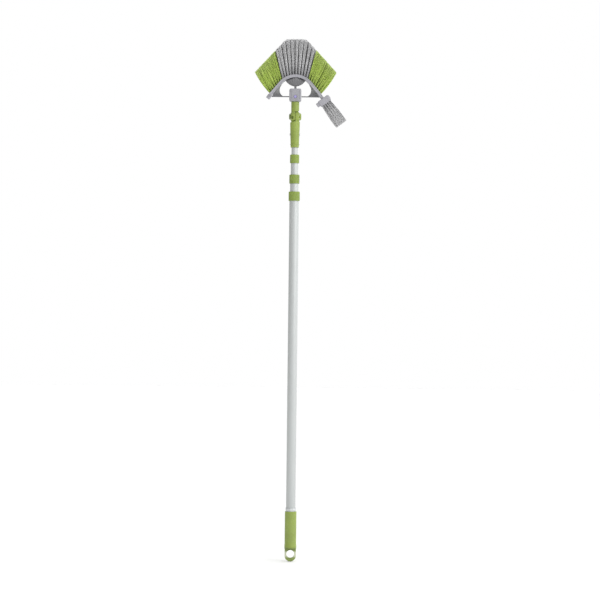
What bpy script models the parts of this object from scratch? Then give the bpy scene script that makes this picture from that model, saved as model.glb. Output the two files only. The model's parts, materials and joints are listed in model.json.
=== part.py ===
"""Telescopic cleaning pole with a tilting fan brush head.

The pole stands along +Z with its front towards -Y. The origin is the centre of the hole in
the hanging loop at its lower end. Lengths are in metres.
"""
from math import acos, asin, cos, pi, radians, sin, sqrt

import bmesh
import bpy
from mathutils import Matrix, Vector

# ---- Driving dimensions ----------------------------------------------------------------
TUBE_DIAMETERS = (0.028, 0.025, 0.022, 0.019)
TUBE_WALL = 0.001
OUTER_TUBE_LENGTH = 1.0325
TUBE_ABOVE_COLLAR_FOOT = 0.010
EXPOSED_LENGTHS = (0.024, 0.034, 0.021)

FIT = 0.0003            # gap between pieces that touch, seat on or are pressed in each other
RUN = 0.0006            # gap beside pieces that swing past each other

# Hanging loop and end cap
LOOP_HOLE_RADIUS = 0.0115
LOOP_OUTER_RADIUS = 0.0168
LOOP_HOLE_RAISE = 0.005
LOOP_THICKNESS = 0.012
LOOP_TOP = 0.0155
CAP_FLANGE = 0.003
CAP_PLUG_LENGTH = 0.018

# Grip and its trim ring
GRIP_LENGTH = 0.1065
GRIP_WALL = 0.0028
GRIP_FLARE = 0.0008
GRIP_FLARE_LENGTH = 0.012
TRIM_LENGTH = 0.0105
TRIM_WALL = 0.0013

# Twist locks
COLLAR_LENGTHS = (0.027, 0.026, 0.025)
COLLAR_WALL = 0.0011
COLLAR_LID = 0.0022
COLLET_WALL = 0.0008
COLLET_CONE = 0.006
COLLET_TAPER = 0.0008
COLLET_SLOT = 0.0016
COLLET_SLOT_LENGTH = 0.010

# Glide bushes
BUSH_FLANGE = 0.006
BUSH_PLUG = 0.010

# Knuckle
SLEEVE_WALL = 0.00245
SLEEVE_SPREAD = 0.002
SLEEVE_HEIGHT = 0.0744
SLEEVE_GRIP = 0.052
RIVET_HEIGHT = 0.038
RIVET_RADIUS = 0.0016
RIVET_HEAD_RADIUS = 0.0040
RIVET_HEAD = 0.0016
DISC_RADIUS = 0.016
DISC_OUTSIDE = 0.013
WASHER_THICKNESS = 0.0012
WASHER_RADIUS = 0.013
BOLT_RADIUS = 0.004
BOLT_HEAD_RADIUS = 0.0095
BOLT_HEAD = 0.0045
KNOB_RADIUS = 0.0108
KNOB_THICKNESS = 0.0050
KNOB_LOBES = 8
KNOB_LOBE_DEPTH = 0.0008
ARM_TOP = 0.044
ARM_SHOULDER = 0.00115
TIP_RADIUS = 0.0106
TIP_FLAT_DEPTH = 0.0006
TIP_LENGTH = 0.032

# Socket of the head and its push button
SOCKET_SIDE_WALL = 0.00715
SOCKET_FRONT_WALL = 0.0059
SOCKET_HEIGHT = 0.038
SOCKET_ROUNDING = 0.005
BUTTON_RADIUS = 0.004
BUTTON_HEIGHT = 0.014
BUTTON_PROUD = 0.0012
BUTTON_FLANGE = 0.0011
BUTTON_FLANGE_RADIUS = 0.0052
BUTTON_SHOULDER = 0.0022
BUTTON_TRAVEL = 0.0014
SPRING_THICKNESS = 0.0004
SPRING_HOLE_RADIUS = 0.0025

# Arched brush block
ARCH_RADIUS = 0.058
ARCH_HALF_ANGLE = radians(50)
BAND_THICKNESS = 0.0086
BLOCK_DEPTH = 0.036
LEG_LENGTH = 0.047
LEG_END_OVERLAP = 0.0015
NECK_HEIGHT = 0.007
NECK_HALF_WIDTH = 0.0032
NECK_HALF_DEPTH = 0.0075
KEEL_HALF_WIDTH = 0.029
KEEL_DROP = 0.0165
KEEL_HALF_DEPTH = 0.0165
KEEL_CREST = 0.009

# Braces
WINDOW_RADIUS = 0.021
WINDOW_RIM = 0.00209
WINDOW_ABOVE_BAR = 0.0205
BAR_HEIGHT = 0.003
BAR_ABOVE_SOCKET_FOOT = 0.0133
BRACE_THICKNESS = 0.003
GUSSET_TOP_ANGLE = radians(40)

# Bristles
FAN_TOP = 0.1045
FAN_TOP_HALF_WIDTH = 0.030
FAN_CORNER_X = 0.1205
FAN_CORNER_DROP = 0.098
CENTRE_HALF_ANGLE = radians(37.5)
CENTRE_EDGE_LEAN = radians(15)
FAN_LEAN = radians(36)
FAN_SHIFT = 0.0012
FAN_END_CLEAR = 0.0007
BRISTLE_BASE_DEPTH = 0.028
BRISTLE_TIP_DEPTH = 0.046

# Detail brush, along its own axis from the end of the right leg
DETAIL_SLOPE = radians(53)
LEG_ARM_LENGTH = 0.009
LEG_ARM_WIDTH = 0.010
LEG_ARM_DEPTH = 0.009
SPIGOT_LENGTH = 0.0145
SPIGOT_WIDTH = 0.008
SPIGOT_DEPTH = 0.007
HOLDER_LENGTH = 0.0185
HOLDER_WIDTH = 0.036
HOLDER_DEPTH = 0.016
EAR_LENGTH = 0.0125
EAR_DEPTH = 0.010
EAR_LOW = 0.026
EAR_HIGH = 0.020
DETAIL_BRISTLE_LENGTH = 0.0755
DETAIL_BRISTLE_WIDTH = 0.036
DETAIL_BRISTLE_SPREAD = 0.038
STUB_LENGTH = 0.012
STUB_WIDTH = 0.012
STUB_DEPTH = 0.012

# Fineness of the faceting
STEPS = 32
SMALL_STEPS = 20
ARC_STEPS = 12

# ---- Sizes that follow -----------------------------------------------------------------
TUBE_RADII = [diameter / 2 for diameter in TUBE_DIAMETERS]
BORE_RADII = [radius - TUBE_WALL for radius in TUBE_RADII]
COLLET_RADII = [radius + FIT + COLLET_WALL for radius in TUBE_RADII[:3]]
COLLAR_BORES = [radius + FIT for radius in COLLET_RADII]
COLLAR_RADII = [radius + COLLAR_WALL for radius in COLLAR_BORES]

GRIP_RADIUS = TUBE_RADII[0] + FIT + GRIP_WALL
GRIP_FOOT_RADIUS = GRIP_RADIUS + GRIP_FLARE
OUTER_TUBE_FOOT = LOOP_TOP + CAP_FLANGE + FIT
OUTER_TUBE_TOP = OUTER_TUBE_FOOT + OUTER_TUBE_LENGTH
GRIP_TOP = OUTER_TUBE_FOOT + GRIP_LENGTH
CAP_PLUG_TOP = LOOP_TOP + CAP_FLANGE + CAP_PLUG_LENGTH

COLLAR_FEET = [OUTER_TUBE_TOP - TUBE_ABOVE_COLLAR_FOOT]
for length, exposed in zip(COLLAR_LENGTHS[:2], EXPOSED_LENGTHS[:2]):
    COLLAR_FEET.append(COLLAR_FEET[-1] + length + exposed)
SLEEVE_FOOT = COLLAR_FEET[2] + COLLAR_LENGTHS[2] + EXPOSED_LENGTHS[2]
TUBE_TOPS = [foot + TUBE_ABOVE_COLLAR_FOOT for foot in COLLAR_FEET] + [SLEEVE_FOOT + SLEEVE_GRIP]

BUSH_FEET = [CAP_PLUG_TOP + FIT]
for _ in range(2):
    BUSH_FEET.append(BUSH_FEET[-1] + BUSH_FLANGE + BUSH_PLUG + FIT)
TUBE_FEET = [OUTER_TUBE_FOOT] + [foot + BUSH_FLANGE + FIT for foot in BUSH_FEET]

SLEEVE_FOOT_RADIUS = TUBE_RADII[3] + FIT + SLEEVE_WALL
SLEEVE_TOP_RADIUS = SLEEVE_FOOT_RADIUS + SLEEVE_SPREAD
SLEEVE_TOP = SLEEVE_FOOT + SLEEVE_HEIGHT
KNUCKLE_Z = SLEEVE_TOP + DISC_RADIUS + RUN
DISC_INSIDE = WASHER_THICKNESS / 2 + FIT
ARM_FOOT = DISC_RADIUS + RUN
ARM_RADIUS = TIP_RADIUS + ARM_SHOULDER
TIP_FLAT = TIP_RADIUS - TIP_FLAT_DEPTH
SOCKET_FOOT = KNUCKLE_Z + ARM_TOP + FIT
SOCKET_TOP = SOCKET_FOOT + SOCKET_HEIGHT
SOCKET_BORE = TIP_RADIUS + FIT
SOCKET_WIDTH = 2 * (TIP_RADIUS + SOCKET_SIDE_WALL)
SOCKET_DEPTH = 2 * (TIP_RADIUS + SOCKET_FRONT_WALL)

BAND_OUTER = ARCH_RADIUS + BAND_THICKNESS / 2
BAND_INNER = ARCH_RADIUS - BAND_THICKNESS / 2
KEEL_FOOT = SOCKET_TOP + FIT + NECK_HEIGHT
KEEL_WIDEST = KEEL_FOOT + KEEL_DROP
KEEL_CURVE_RADIUS = (KEEL_HALF_WIDTH ** 2 + KEEL_DROP ** 2) / (2 * KEEL_DROP)
ARCH_Z = KEEL_WIDEST - sqrt((BAND_INNER - FIT) ** 2 - KEEL_HALF_WIDTH ** 2)
LEG_START = Vector((ARCH_RADIUS * sin(ARCH_HALF_ANGLE), 0, ARCH_Z + ARCH_RADIUS * cos(ARCH_HALF_ANGLE)))
LEG_DIRECTION = Vector((cos(ARCH_HALF_ANGLE), 0, -sin(ARCH_HALF_ANGLE)))
LEG_END = LEG_START + LEG_LENGTH * LEG_DIRECTION
CROWN_TOP = ARCH_Z + BAND_OUTER
FAN_LEG_LENGTH = LEG_LENGTH - LEG_END_OVERLAP - (STUB_WIDTH - BAND_THICKNESS) / 2 - FAN_END_CLEAR
FAN_ARC_LENGTH = BAND_OUTER * ARCH_HALF_ANGLE
FAN_HALF_LENGTH = FAN_ARC_LENGTH + FAN_LEG_LENGTH
PARTING = BAND_OUTER * CENTRE_HALF_ANGLE / FAN_HALF_LENGTH

GREEN = (0.262, 0.345, 0.075)
DARK_GREEN = (0.105, 0.140, 0.028)
GREY = (0.360, 0.358, 0.385)
DARK_GREY = (0.190, 0.190, 0.200)
SILVER = (0.560, 0.590, 0.590)


# ---- Helpers ---------------------------------------------------------------------------
def clear_scene():
    for item in list(bpy.data.objects):
        bpy.data.objects.remove(item, do_unlink=True)


def make_material(name, colour, roughness, metallic=0.0):
    material = bpy.data.materials.new(name)
    material.use_nodes = True
    shader = material.node_tree.nodes["Principled BSDF"]
    shader.inputs["Base Color"].default_value = (*colour, 1.0)
    shader.inputs["Roughness"].default_value = roughness
    shader.inputs["Metallic"].default_value = metallic
    return material


def make_frame(name, parent, location, turn=None):
    """An empty on a joint's axis, which carries the pieces that move together."""
    frame = bpy.data.objects.new(name, None)
    bpy.context.collection.objects.link(frame)
    frame.parent = parent
    frame.location = location
    if turn is not None:
        frame.rotation_euler = turn
    return frame


def make_object(name, mesh_editor, parent, material, location=(0, 0, 0)):
    """Turn finished bmesh data into a named object with outward faces and smooth shading."""
    bmesh.ops.remove_doubles(mesh_editor, verts=mesh_editor.verts, dist=1e-7)
    bmesh.ops.recalc_face_normals(mesh_editor, faces=mesh_editor.faces)
    mesh = bpy.data.meshes.new(name)
    mesh_editor.to_mesh(mesh)
    mesh_editor.free()
    mesh.shade_smooth()
    mesh.set_sharp_from_angle(angle=radians(35))
    if material is not None:
        mesh.materials.append(material)
    piece = bpy.data.objects.new(name, mesh)
    bpy.context.collection.objects.link(piece)
    piece.parent = parent
    piece.location = location
    return piece


def turned(profile, steps=STEPS, axis="Z"):
    """Turn an outline of (radius, height) points about an axis. Ends at radius 0 are poles."""
    editor = bmesh.new()
    rings = []
    for radius, height in profile:
        if radius == 0:
            rings.append([editor.verts.new((0, 0, height))])
            continue
        ring = []
        for step in range(steps):
            angle = 2 * pi * step / steps
            ring.append(editor.verts.new((radius * cos(angle), radius * sin(angle), height)))
        rings.append(ring)
    closed = profile[0][0] != 0
    pairs = list(zip(rings, rings[1:]))
    if closed:
        pairs.append((rings[-1], rings[0]))
    for lower, upper in pairs:
        for step in range(steps):
            after = (step + 1) % steps
            if len(lower) == 1:
                editor.faces.new((lower[0], upper[after], upper[step]))
            elif len(upper) == 1:
                editor.faces.new((lower[step], lower[after], upper[0]))
            else:
                editor.faces.new((lower[step], lower[after], upper[after], upper[step]))
    if axis == "X":
        bmesh.ops.rotate(editor, verts=editor.verts, matrix=Matrix.Rotation(pi / 2, 3, "Y"))
    if axis == "Y":
        bmesh.ops.rotate(editor, verts=editor.verts, matrix=Matrix.Rotation(-pi / 2, 3, "X"))
    return editor


def block(low, high, rounding=0.0, segments=2):
    """A box between two corners, with its edges rounded if asked."""
    editor = bmesh.new()
    size = Vector(high) - Vector(low)
    middle = (Vector(high) + Vector(low)) / 2
    bmesh.ops.create_cube(editor, size=1.0, matrix=Matrix.Translation(middle) @ Matrix.Diagonal((*size, 1)))
    if rounding:
        bmesh.ops.bevel(
            editor,
            geom=editor.edges[:],
            offset=rounding,
            segments=segments,
            profile=0.5,
            affect="EDGES",
        )
    return editor


def slab(outline, low_y, high_y):
    """Extrude a closed outline of (x, z) points from one y to another."""
    editor = bmesh.new()
    front = [editor.verts.new((x, low_y, z)) for x, z in outline]
    back = [editor.verts.new((x, high_y, z)) for x, z in outline]
    editor.faces.new(front)
    editor.faces.new(list(reversed(back)))
    for index in range(len(outline)):
        after = (index + 1) % len(outline)
        editor.faces.new((front[index], back[index], back[after], front[after]))
    return editor


def half_rod(radius, side, flat, low_z, high_z):
    """A rod along Z of D section: only what lies beyond a flat on one side of the axis."""
    reach = acos(flat / radius)
    section = []
    for step in range(ARC_STEPS + 1):
        angle = -reach + 2 * reach * step / ARC_STEPS
        section.append((side * radius * cos(angle), radius * sin(angle)))
    editor = bmesh.new()
    low = [editor.verts.new((x, y, low_z)) for x, y in section]
    high = [editor.verts.new((x, y, high_z)) for x, y in section]
    editor.faces.new(list(reversed(low)))
    editor.faces.new(high)
    for index in range(len(section)):
        after = (index + 1) % len(section)
        editor.faces.new((low[index], low[after], high[after], high[index]))
    return editor


def arc(centre, radius, start, end, steps=ARC_STEPS):
    """Points (x, z) along an arc, with angles measured from +X towards +Z."""
    points = []
    for step in range(steps + 1):
        angle = start + (end - start) * step / steps
        points.append((centre[0] + radius * cos(angle), centre[1] + radius * sin(angle)))
    return points


def combine(piece, editor, operation, location=(0, 0, 0), turn=None):
    """Join a shape to a piece or cut it out, with a live Boolean and a hidden helper."""
    helper = make_object(f"{piece.name}.{operation.lower()}", editor, piece, None, location)
    if turn is not None:
        helper.rotation_euler = turn
    helper.hide_render = True
    helper.display_type = "WIRE"
    modifier = piece.modifiers.new(helper.name, "BOOLEAN")
    modifier.operation = operation
    modifier.object = helper
    modifier.solver = "EXACT"
    return helper


def turned_end(radius, start, end):
    """The outline of a plain rod between two heights."""
    return [(0, start), (radius, start), (radius, end), (0, end)]


# ---- Pole ------------------------------------------------------------------------------
def make_tube(name, index, parent, material, origin_z):
    foot = TUBE_FEET[index] - origin_z
    top = TUBE_TOPS[index] - origin_z
    outer = TUBE_RADII[index]
    inner = BORE_RADII[index]
    profile = [(inner, foot), (outer, foot), (outer, top), (inner, top)]
    return make_object(name, turned(profile), parent, material)


def make_loop_cap(parent, material):
    plug_radius = BORE_RADII[0] - FIT
    flange_radius = GRIP_FOOT_RADIUS
    flange_top = LOOP_TOP + CAP_FLANGE
    edge = CAP_FLANGE / 4
    profile = [
        (0, LOOP_TOP),
        (flange_radius - edge, LOOP_TOP),
        (flange_radius, LOOP_TOP + edge),
        (flange_radius, flange_top),
        (plug_radius, flange_top),
        (plug_radius, CAP_PLUG_TOP - edge),
        (plug_radius - edge, CAP_PLUG_TOP),
        (0, CAP_PLUG_TOP),
    ]
    cap = make_object("hang_loop_cap", turned(profile), parent, material)
    half = LOOP_THICKNESS / 2
    outline = arc((0, -LOOP_HOLE_RAISE), LOOP_OUTER_RADIUS, pi, 2 * pi, 2 * ARC_STEPS)
    outline += [(LOOP_OUTER_RADIUS, LOOP_TOP + CAP_FLANGE / 2), (-LOOP_OUTER_RADIUS, LOOP_TOP + CAP_FLANGE / 2)]
    combine(cap, slab(outline, -half, half), "UNION")
    hole = turned(turned_end(LOOP_HOLE_RADIUS, -LOOP_THICKNESS, LOOP_THICKNESS), STEPS, "Y")
    combine(cap, hole, "DIFFERENCE")
    return cap


def make_grip(parent, material):
    inner = TUBE_RADII[0] + FIT
    foot = OUTER_TUBE_FOOT
    edge = (GRIP_RADIUS - inner) / 3
    profile = [
        (inner, foot),
        (GRIP_FOOT_RADIUS, foot),
        (GRIP_FOOT_RADIUS, foot + GRIP_FLARE_LENGTH / 3),
        (GRIP_RADIUS, foot + GRIP_FLARE_LENGTH),
        (GRIP_RADIUS, GRIP_TOP - edge),
        (GRIP_RADIUS - edge, GRIP_TOP),
        (inner, GRIP_TOP),
    ]
    return make_object("hand_grip", turned(profile), parent, material)


def make_trim_ring(parent, material):
    inner = TUBE_RADII[0] + FIT
    outer = inner + TRIM_WALL
    foot = GRIP_TOP + FIT
    top = foot + TRIM_LENGTH
    edge = TRIM_WALL / 2
    profile = [(inner, foot), (outer, foot), (outer, top - edge), (outer - edge, top), (inner, top)]
    return make_object("grip_trim_ring", turned(profile), parent, material)


def make_collet(index, parent, material, origin_z):
    """A split sleeve over a tube's top end, with fingers that close on the next tube."""
    foot = COLLAR_FEET[index] + FIT - origin_z
    seat = TUBE_TOPS[index] + FIT - origin_z
    top = COLLAR_FEET[index] + COLLAR_LENGTHS[index] - COLLAR_LID - FIT - origin_z
    skirt = TUBE_RADII[index] + FIT
    fingers = TUBE_RADII[index + 1] + FIT
    outer = COLLET_RADII[index]
    profile = [
        (skirt, foot),
        (outer, foot),
        (outer, top - COLLET_CONE),
        (outer - COLLET_TAPER, top),
        (fingers, top),
        (fingers, seat),
        (skirt, seat),
    ]
    collet = make_object(f"collet_{index + 1}", turned(profile), parent, material)
    half = COLLET_SLOT / 2
    slot_foot = top - COLLET_SLOT_LENGTH
    for turn in (pi / 4, -pi / 4):
        slot = block((-2 * outer, -half, slot_foot), (2 * outer, half, top + half))
        combine(collet, slot, "DIFFERENCE", turn=(0, 0, turn))
    return collet


def make_collar(index, parent, material, origin_z):
    """A twist ring whose cone closes the collet when it is screwed home."""
    foot = COLLAR_FEET[index] - origin_z
    top = foot + COLLAR_LENGTHS[index]
    bore = COLLAR_BORES[index]
    outer = COLLAR_RADII[index]
    mouth = TUBE_RADII[index + 1] + FIT
    lid = top - COLLAR_LID
    edge = COLLAR_WALL / 3
    profile = [
        (bore, foot),
        (outer - edge, foot),
        (outer, foot + edge),
        (outer, top - edge),
        (outer - edge, top),
        (mouth, top),
        (mouth, lid),
        (bore - COLLET_TAPER, lid),
        (bore, lid - COLLET_CONE),
    ]
    return make_object(f"lock_collar_{index + 1}", turned(profile), parent, material)


def make_bush(index, parent, material, origin_z):
    """The plug and flange that keep a tube's lower end central in the tube around it."""
    foot = BUSH_FEET[index - 1] - origin_z
    shoulder = foot + BUSH_FLANGE
    top = shoulder + BUSH_PLUG
    flange = BORE_RADII[index - 1] - FIT
    plug = BORE_RADII[index] - FIT
    profile = [(0, foot), (flange, foot), (flange, shoulder), (plug, shoulder), (plug, top), (0, top)]
    return make_object(f"glide_bush_{index + 1}", turned(profile), parent, material)


# ---- Knuckle ---------------------------------------------------------------------------
def make_sleeve(parent, material, tube, origin_z):
    """The lower half of the knuckle: a tapered sleeve with a disc on its right side."""
    bore = TUBE_RADII[3] + FIT
    foot = SLEEVE_FOOT - origin_z
    top = SLEEVE_TOP - origin_z
    ceiling = TUBE_TOPS[3] + FIT - origin_z
    axis_z = KNUCKLE_Z - origin_z
    profile = [
        (0, ceiling),
        (bore, ceiling),
        (bore, foot),
        (SLEEVE_FOOT_RADIUS, foot),
        (SLEEVE_TOP_RADIUS, top - DISC_RADIUS / 2),
        (SLEEVE_TOP_RADIUS, top),
        (0, top),
    ]
    sleeve = make_object("knuckle_sleeve", turned(profile), parent, material)
    disc = turned(turned_end(DISC_RADIUS, DISC_INSIDE, DISC_OUTSIDE), STEPS, "X")
    combine(sleeve, disc, "UNION", (0, 0, axis_z))
    web = half_rod(DISC_OUTSIDE - RUN, 1, DISC_INSIDE, top - DISC_RADIUS / 4, axis_z - DISC_RADIUS / 2)
    combine(sleeve, web, "UNION")
    hole = turned(turned_end(BOLT_RADIUS + FIT, -DISC_RADIUS, DISC_RADIUS), SMALL_STEPS, "X")
    combine(sleeve, hole, "DIFFERENCE", (0, 0, axis_z))
    rivet_z = SLEEVE_FOOT + RIVET_HEIGHT - origin_z
    for piece in (sleeve, tube):
        reach = 2 * SLEEVE_TOP_RADIUS
        hole = turned(turned_end(RIVET_RADIUS + FIT, -reach, reach), SMALL_STEPS, "X")
        combine(piece, hole, "DIFFERENCE", (0, 0, rivet_z))
    return sleeve


def make_rivet(parent, material, origin_z):
    """The rivet that pins the sleeve to the thinnest tube, headed on the left."""
    taper = (SLEEVE_TOP_RADIUS - SLEEVE_FOOT_RADIUS) / (SLEEVE_HEIGHT - DISC_RADIUS / 2)
    seat = SLEEVE_FOOT_RADIUS + taper * (RIVET_HEIGHT + RIVET_HEAD_RADIUS) + FIT
    dome = RIVET_HEAD / 2
    profile = [
        (0, -seat - RIVET_HEAD),
        (RIVET_HEAD_RADIUS / 2, -seat - RIVET_HEAD),
        (RIVET_HEAD_RADIUS, -seat - dome),
        (RIVET_HEAD_RADIUS, -seat),
        (RIVET_RADIUS, -seat),
        (RIVET_RADIUS, seat),
        (RIVET_HEAD_RADIUS, seat),
        (RIVET_HEAD_RADIUS, seat + dome),
        (RIVET_HEAD_RADIUS / 2, seat + RIVET_HEAD),
        (0, seat + RIVET_HEAD),
    ]
    height = SLEEVE_FOOT + RIVET_HEIGHT - origin_z
    return make_object("sleeve_rivet", turned(profile, SMALL_STEPS, "X"), parent, material, (0, 0, height))


def make_bolt(parent, material, origin_z):
    seat = DISC_OUTSIDE + FIT
    end = DISC_OUTSIDE + KNOB_THICKNESS / 2
    edge = BOLT_HEAD / 3
    profile = [
        (0, -seat - BOLT_HEAD),
        (BOLT_HEAD_RADIUS - edge, -seat - BOLT_HEAD),
        (BOLT_HEAD_RADIUS, -seat - BOLT_HEAD + edge),
        (BOLT_HEAD_RADIUS, -seat),
        (BOLT_RADIUS, -seat),
        (BOLT_RADIUS, end),
        (0, end),
    ]
    height = KNUCKLE_Z - origin_z
    return make_object("pivot_bolt", turned(profile, SMALL_STEPS, "X"), parent, material, (0, 0, height))


def make_washer(parent, material):
    half = WASHER_THICKNESS / 2
    inner = BOLT_RADIUS + FIT
    profile = [(inner, -half), (WASHER_RADIUS, -half), (WASHER_RADIUS, half), (inner, half)]
    return make_object("friction_washer", turned(profile, SMALL_STEPS, "X"), parent, material)


def make_knob(parent, material):
    """The lobed clamp knob, with a blind bore for the end of the bolt."""
    steps = KNOB_LOBES * 6
    seat = DISC_OUTSIDE + FIT
    face = seat + KNOB_THICKNESS
    edge = KNOB_THICKNESS / 4
    bore = BOLT_RADIUS + FIT
    bore_end = DISC_OUTSIDE + KNOB_THICKNESS / 2 + FIT
    profile = [
        (0, bore_end),
        (bore, bore_end),
        (bore, seat),
        (KNOB_RADIUS, seat),
        (KNOB_RADIUS, face - edge),
        (KNOB_RADIUS - edge, face),
        (0, face),
    ]
    editor = turned(profile, steps)
    for vertex in editor.verts:
        radius = vertex.co.xy.length
        if radius > bore + KNOB_LOBE_DEPTH:
            angle = vertex.co.xy.angle_signed(Vector((1, 0)))
            smaller = 1 - KNOB_LOBE_DEPTH / KNOB_RADIUS * (1 - cos(KNOB_LOBES * angle)) / 2
            vertex.co.x *= smaller
            vertex.co.y *= smaller
    bmesh.ops.rotate(editor, verts=editor.verts, matrix=Matrix.Rotation(pi / 2, 3, "Y"))
    return make_object("clamp_knob", editor, parent, material)


def make_arm(parent, material):
    """The upper half of the knuckle: a disc on the left, a round arm and the tip above it."""
    edge = FIT * 3
    profile = [
        (0, ARM_FOOT),
        (ARM_RADIUS - edge, ARM_FOOT),
        (ARM_RADIUS, ARM_FOOT + edge),
        (ARM_RADIUS, ARM_TOP),
        (TIP_RADIUS, ARM_TOP),
        (TIP_RADIUS, ARM_TOP + TIP_LENGTH - edge),
        (TIP_RADIUS - edge, ARM_TOP + TIP_LENGTH),
        (0, ARM_TOP + TIP_LENGTH),
    ]
    arm = make_object("knuckle_arm", turned(profile), parent, material)
    disc = turned(turned_end(DISC_RADIUS, -DISC_OUTSIDE, -DISC_INSIDE), STEPS, "X")
    combine(arm, disc, "UNION")
    web = half_rod(ARM_RADIUS - RUN, -1, DISC_INSIDE, DISC_RADIUS / 2, ARM_FOOT + DISC_RADIUS / 4)
    combine(arm, web, "UNION")
    hole = turned(turned_end(BOLT_RADIUS + FIT, -DISC_RADIUS, DISC_RADIUS), SMALL_STEPS, "X")
    combine(arm, hole, "DIFFERENCE")
    flat = block(
        (-TIP_RADIUS, -2 * TIP_RADIUS, ARM_TOP + FIT),
        (TIP_RADIUS, -TIP_FLAT, ARM_TOP + 2 * TIP_LENGTH),
    )
    combine(arm, flat, "DIFFERENCE")
    return arm


# ---- Head ------------------------------------------------------------------------------
def make_socket(parent, material):
    """The rounded box that pushes on the tip, with a stepped bore for the button."""
    half_width = SOCKET_WIDTH / 2
    half_depth = SOCKET_DEPTH / 2
    shape = block((-half_width, -half_depth, 0), (half_width, half_depth, SOCKET_HEIGHT), SOCKET_ROUNDING, 4)
    socket = make_object("head_socket", shape, parent, material)
    bore = turned(turned_end(SOCKET_BORE, -TIP_LENGTH, TIP_LENGTH + FIT))
    combine(socket, bore, "DIFFERENCE")
    shoulder = half_depth - BUTTON_SHOULDER
    profile = [
        (0, -2 * half_depth),
        (BUTTON_RADIUS + FIT, -2 * half_depth),
        (BUTTON_RADIUS + FIT, -shoulder),
        (BUTTON_FLANGE_RADIUS + FIT, -shoulder),
        (BUTTON_FLANGE_RADIUS + FIT, 0),
        (0, 0),
    ]
    combine(socket, turned(profile, SMALL_STEPS, "Y"), "DIFFERENCE", (0, 0, BUTTON_HEIGHT))
    return socket


def button_depths():
    """Where the flange's front, its back and the spring washer's front lie, from the axis."""
    flange_front = SOCKET_DEPTH / 2 - BUTTON_SHOULDER - FIT
    flange_back = flange_front - BUTTON_FLANGE
    spring_front = flange_back - BUTTON_TRAVEL - FIT
    return flange_front, flange_back, spring_front


def make_button(parent, material):
    flange_front, flange_back, _ = button_depths()
    face = SOCKET_DEPTH / 2 + BUTTON_PROUD
    edge = BUTTON_PROUD / 2
    profile = [
        (0, -face),
        (BUTTON_RADIUS - edge, -face),
        (BUTTON_RADIUS, -face + edge),
        (BUTTON_RADIUS, -flange_front),
        (BUTTON_FLANGE_RADIUS, -flange_front),
        (BUTTON_FLANGE_RADIUS, -flange_back),
        (0, -flange_back),
    ]
    return make_object("release_button", turned(profile, SMALL_STEPS, "Y"), parent, material)


def make_spring(parent, material):
    _, _, front = button_depths()
    back = front - SPRING_THICKNESS
    profile = [
        (SPRING_HOLE_RADIUS, -front),
        (BUTTON_FLANGE_RADIUS, -front),
        (BUTTON_FLANGE_RADIUS, -back),
        (SPRING_HOLE_RADIUS, -back),
    ]
    return make_object(
        "button_spring", turned(profile, SMALL_STEPS, "Y"), parent, material, (0, 0, BUTTON_HEIGHT)
    )


def keel_section(height):
    """Half width and half depth of the hull-shaped boss at a height in the head's frame."""
    above_foot = height - KEEL_FOOT
    if height <= KEEL_WIDEST:
        width = sqrt(KEEL_CURVE_RADIUS ** 2 - (KEEL_CURVE_RADIUS - above_foot) ** 2)
    else:
        width = sqrt((BAND_INNER - FIT) ** 2 - (height - ARCH_Z) ** 2)
    share = min(1.0, above_foot / KEEL_DROP)
    depth = NECK_HALF_DEPTH + (KEEL_HALF_DEPTH - NECK_HALF_DEPTH) * share
    return max(width, NECK_HALF_WIDTH), depth


def make_keel(parent, material):
    """The boss that joins the socket to the arch: a neck that widens into a hull shape."""
    crest = ARCH_Z + sqrt((BAND_INNER - FIT) ** 2 - KEEL_CREST ** 2)
    sections = [(SOCKET_TOP + FIT, NECK_HALF_WIDTH, NECK_HALF_DEPTH)]
    sections.append((KEEL_FOOT, NECK_HALF_WIDTH, NECK_HALF_DEPTH))
    levels = 7
    for start, end in ((KEEL_FOOT, KEEL_WIDEST), (KEEL_WIDEST, crest)):
        for level in range(1, levels + 1):
            height = start + (end - start) * level / levels
            sections.append((height, *keel_section(height)))
    editor = bmesh.new()
    rings = []
    for height, width, depth in sections:
        ring = []
        for step in range(STEPS):
            angle = 2 * pi * step / STEPS
            point = (width * cos(angle), depth * sin(angle), height - SOCKET_FOOT)
            ring.append(editor.verts.new(point))
        rings.append(ring)
    for lower, upper in zip(rings, rings[1:]):
        for step in range(STEPS):
            after = (step + 1) % STEPS
            editor.faces.new((lower[step], lower[after], upper[after], upper[step]))
    editor.faces.new(list(reversed(rings[0])))
    editor.faces.new(rings[-1])
    return make_object("keel_boss", editor, parent, material)


def band_outline(offset):
    """Points (x, z) of a line beside the arch's centre line, from the left leg to the right."""
    radius = ARCH_RADIUS + offset
    normal = Vector((sin(ARCH_HALF_ANGLE), 0, cos(ARCH_HALF_ANGLE)))
    end = LEG_END + offset * normal
    points = [(-end.x, end.z)]
    points += arc((0, ARCH_Z), radius, pi / 2 + ARCH_HALF_ANGLE, pi / 2 - ARCH_HALF_ANGLE, 2 * ARC_STEPS)
    points.append((end.x, end.z))
    return points


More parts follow.
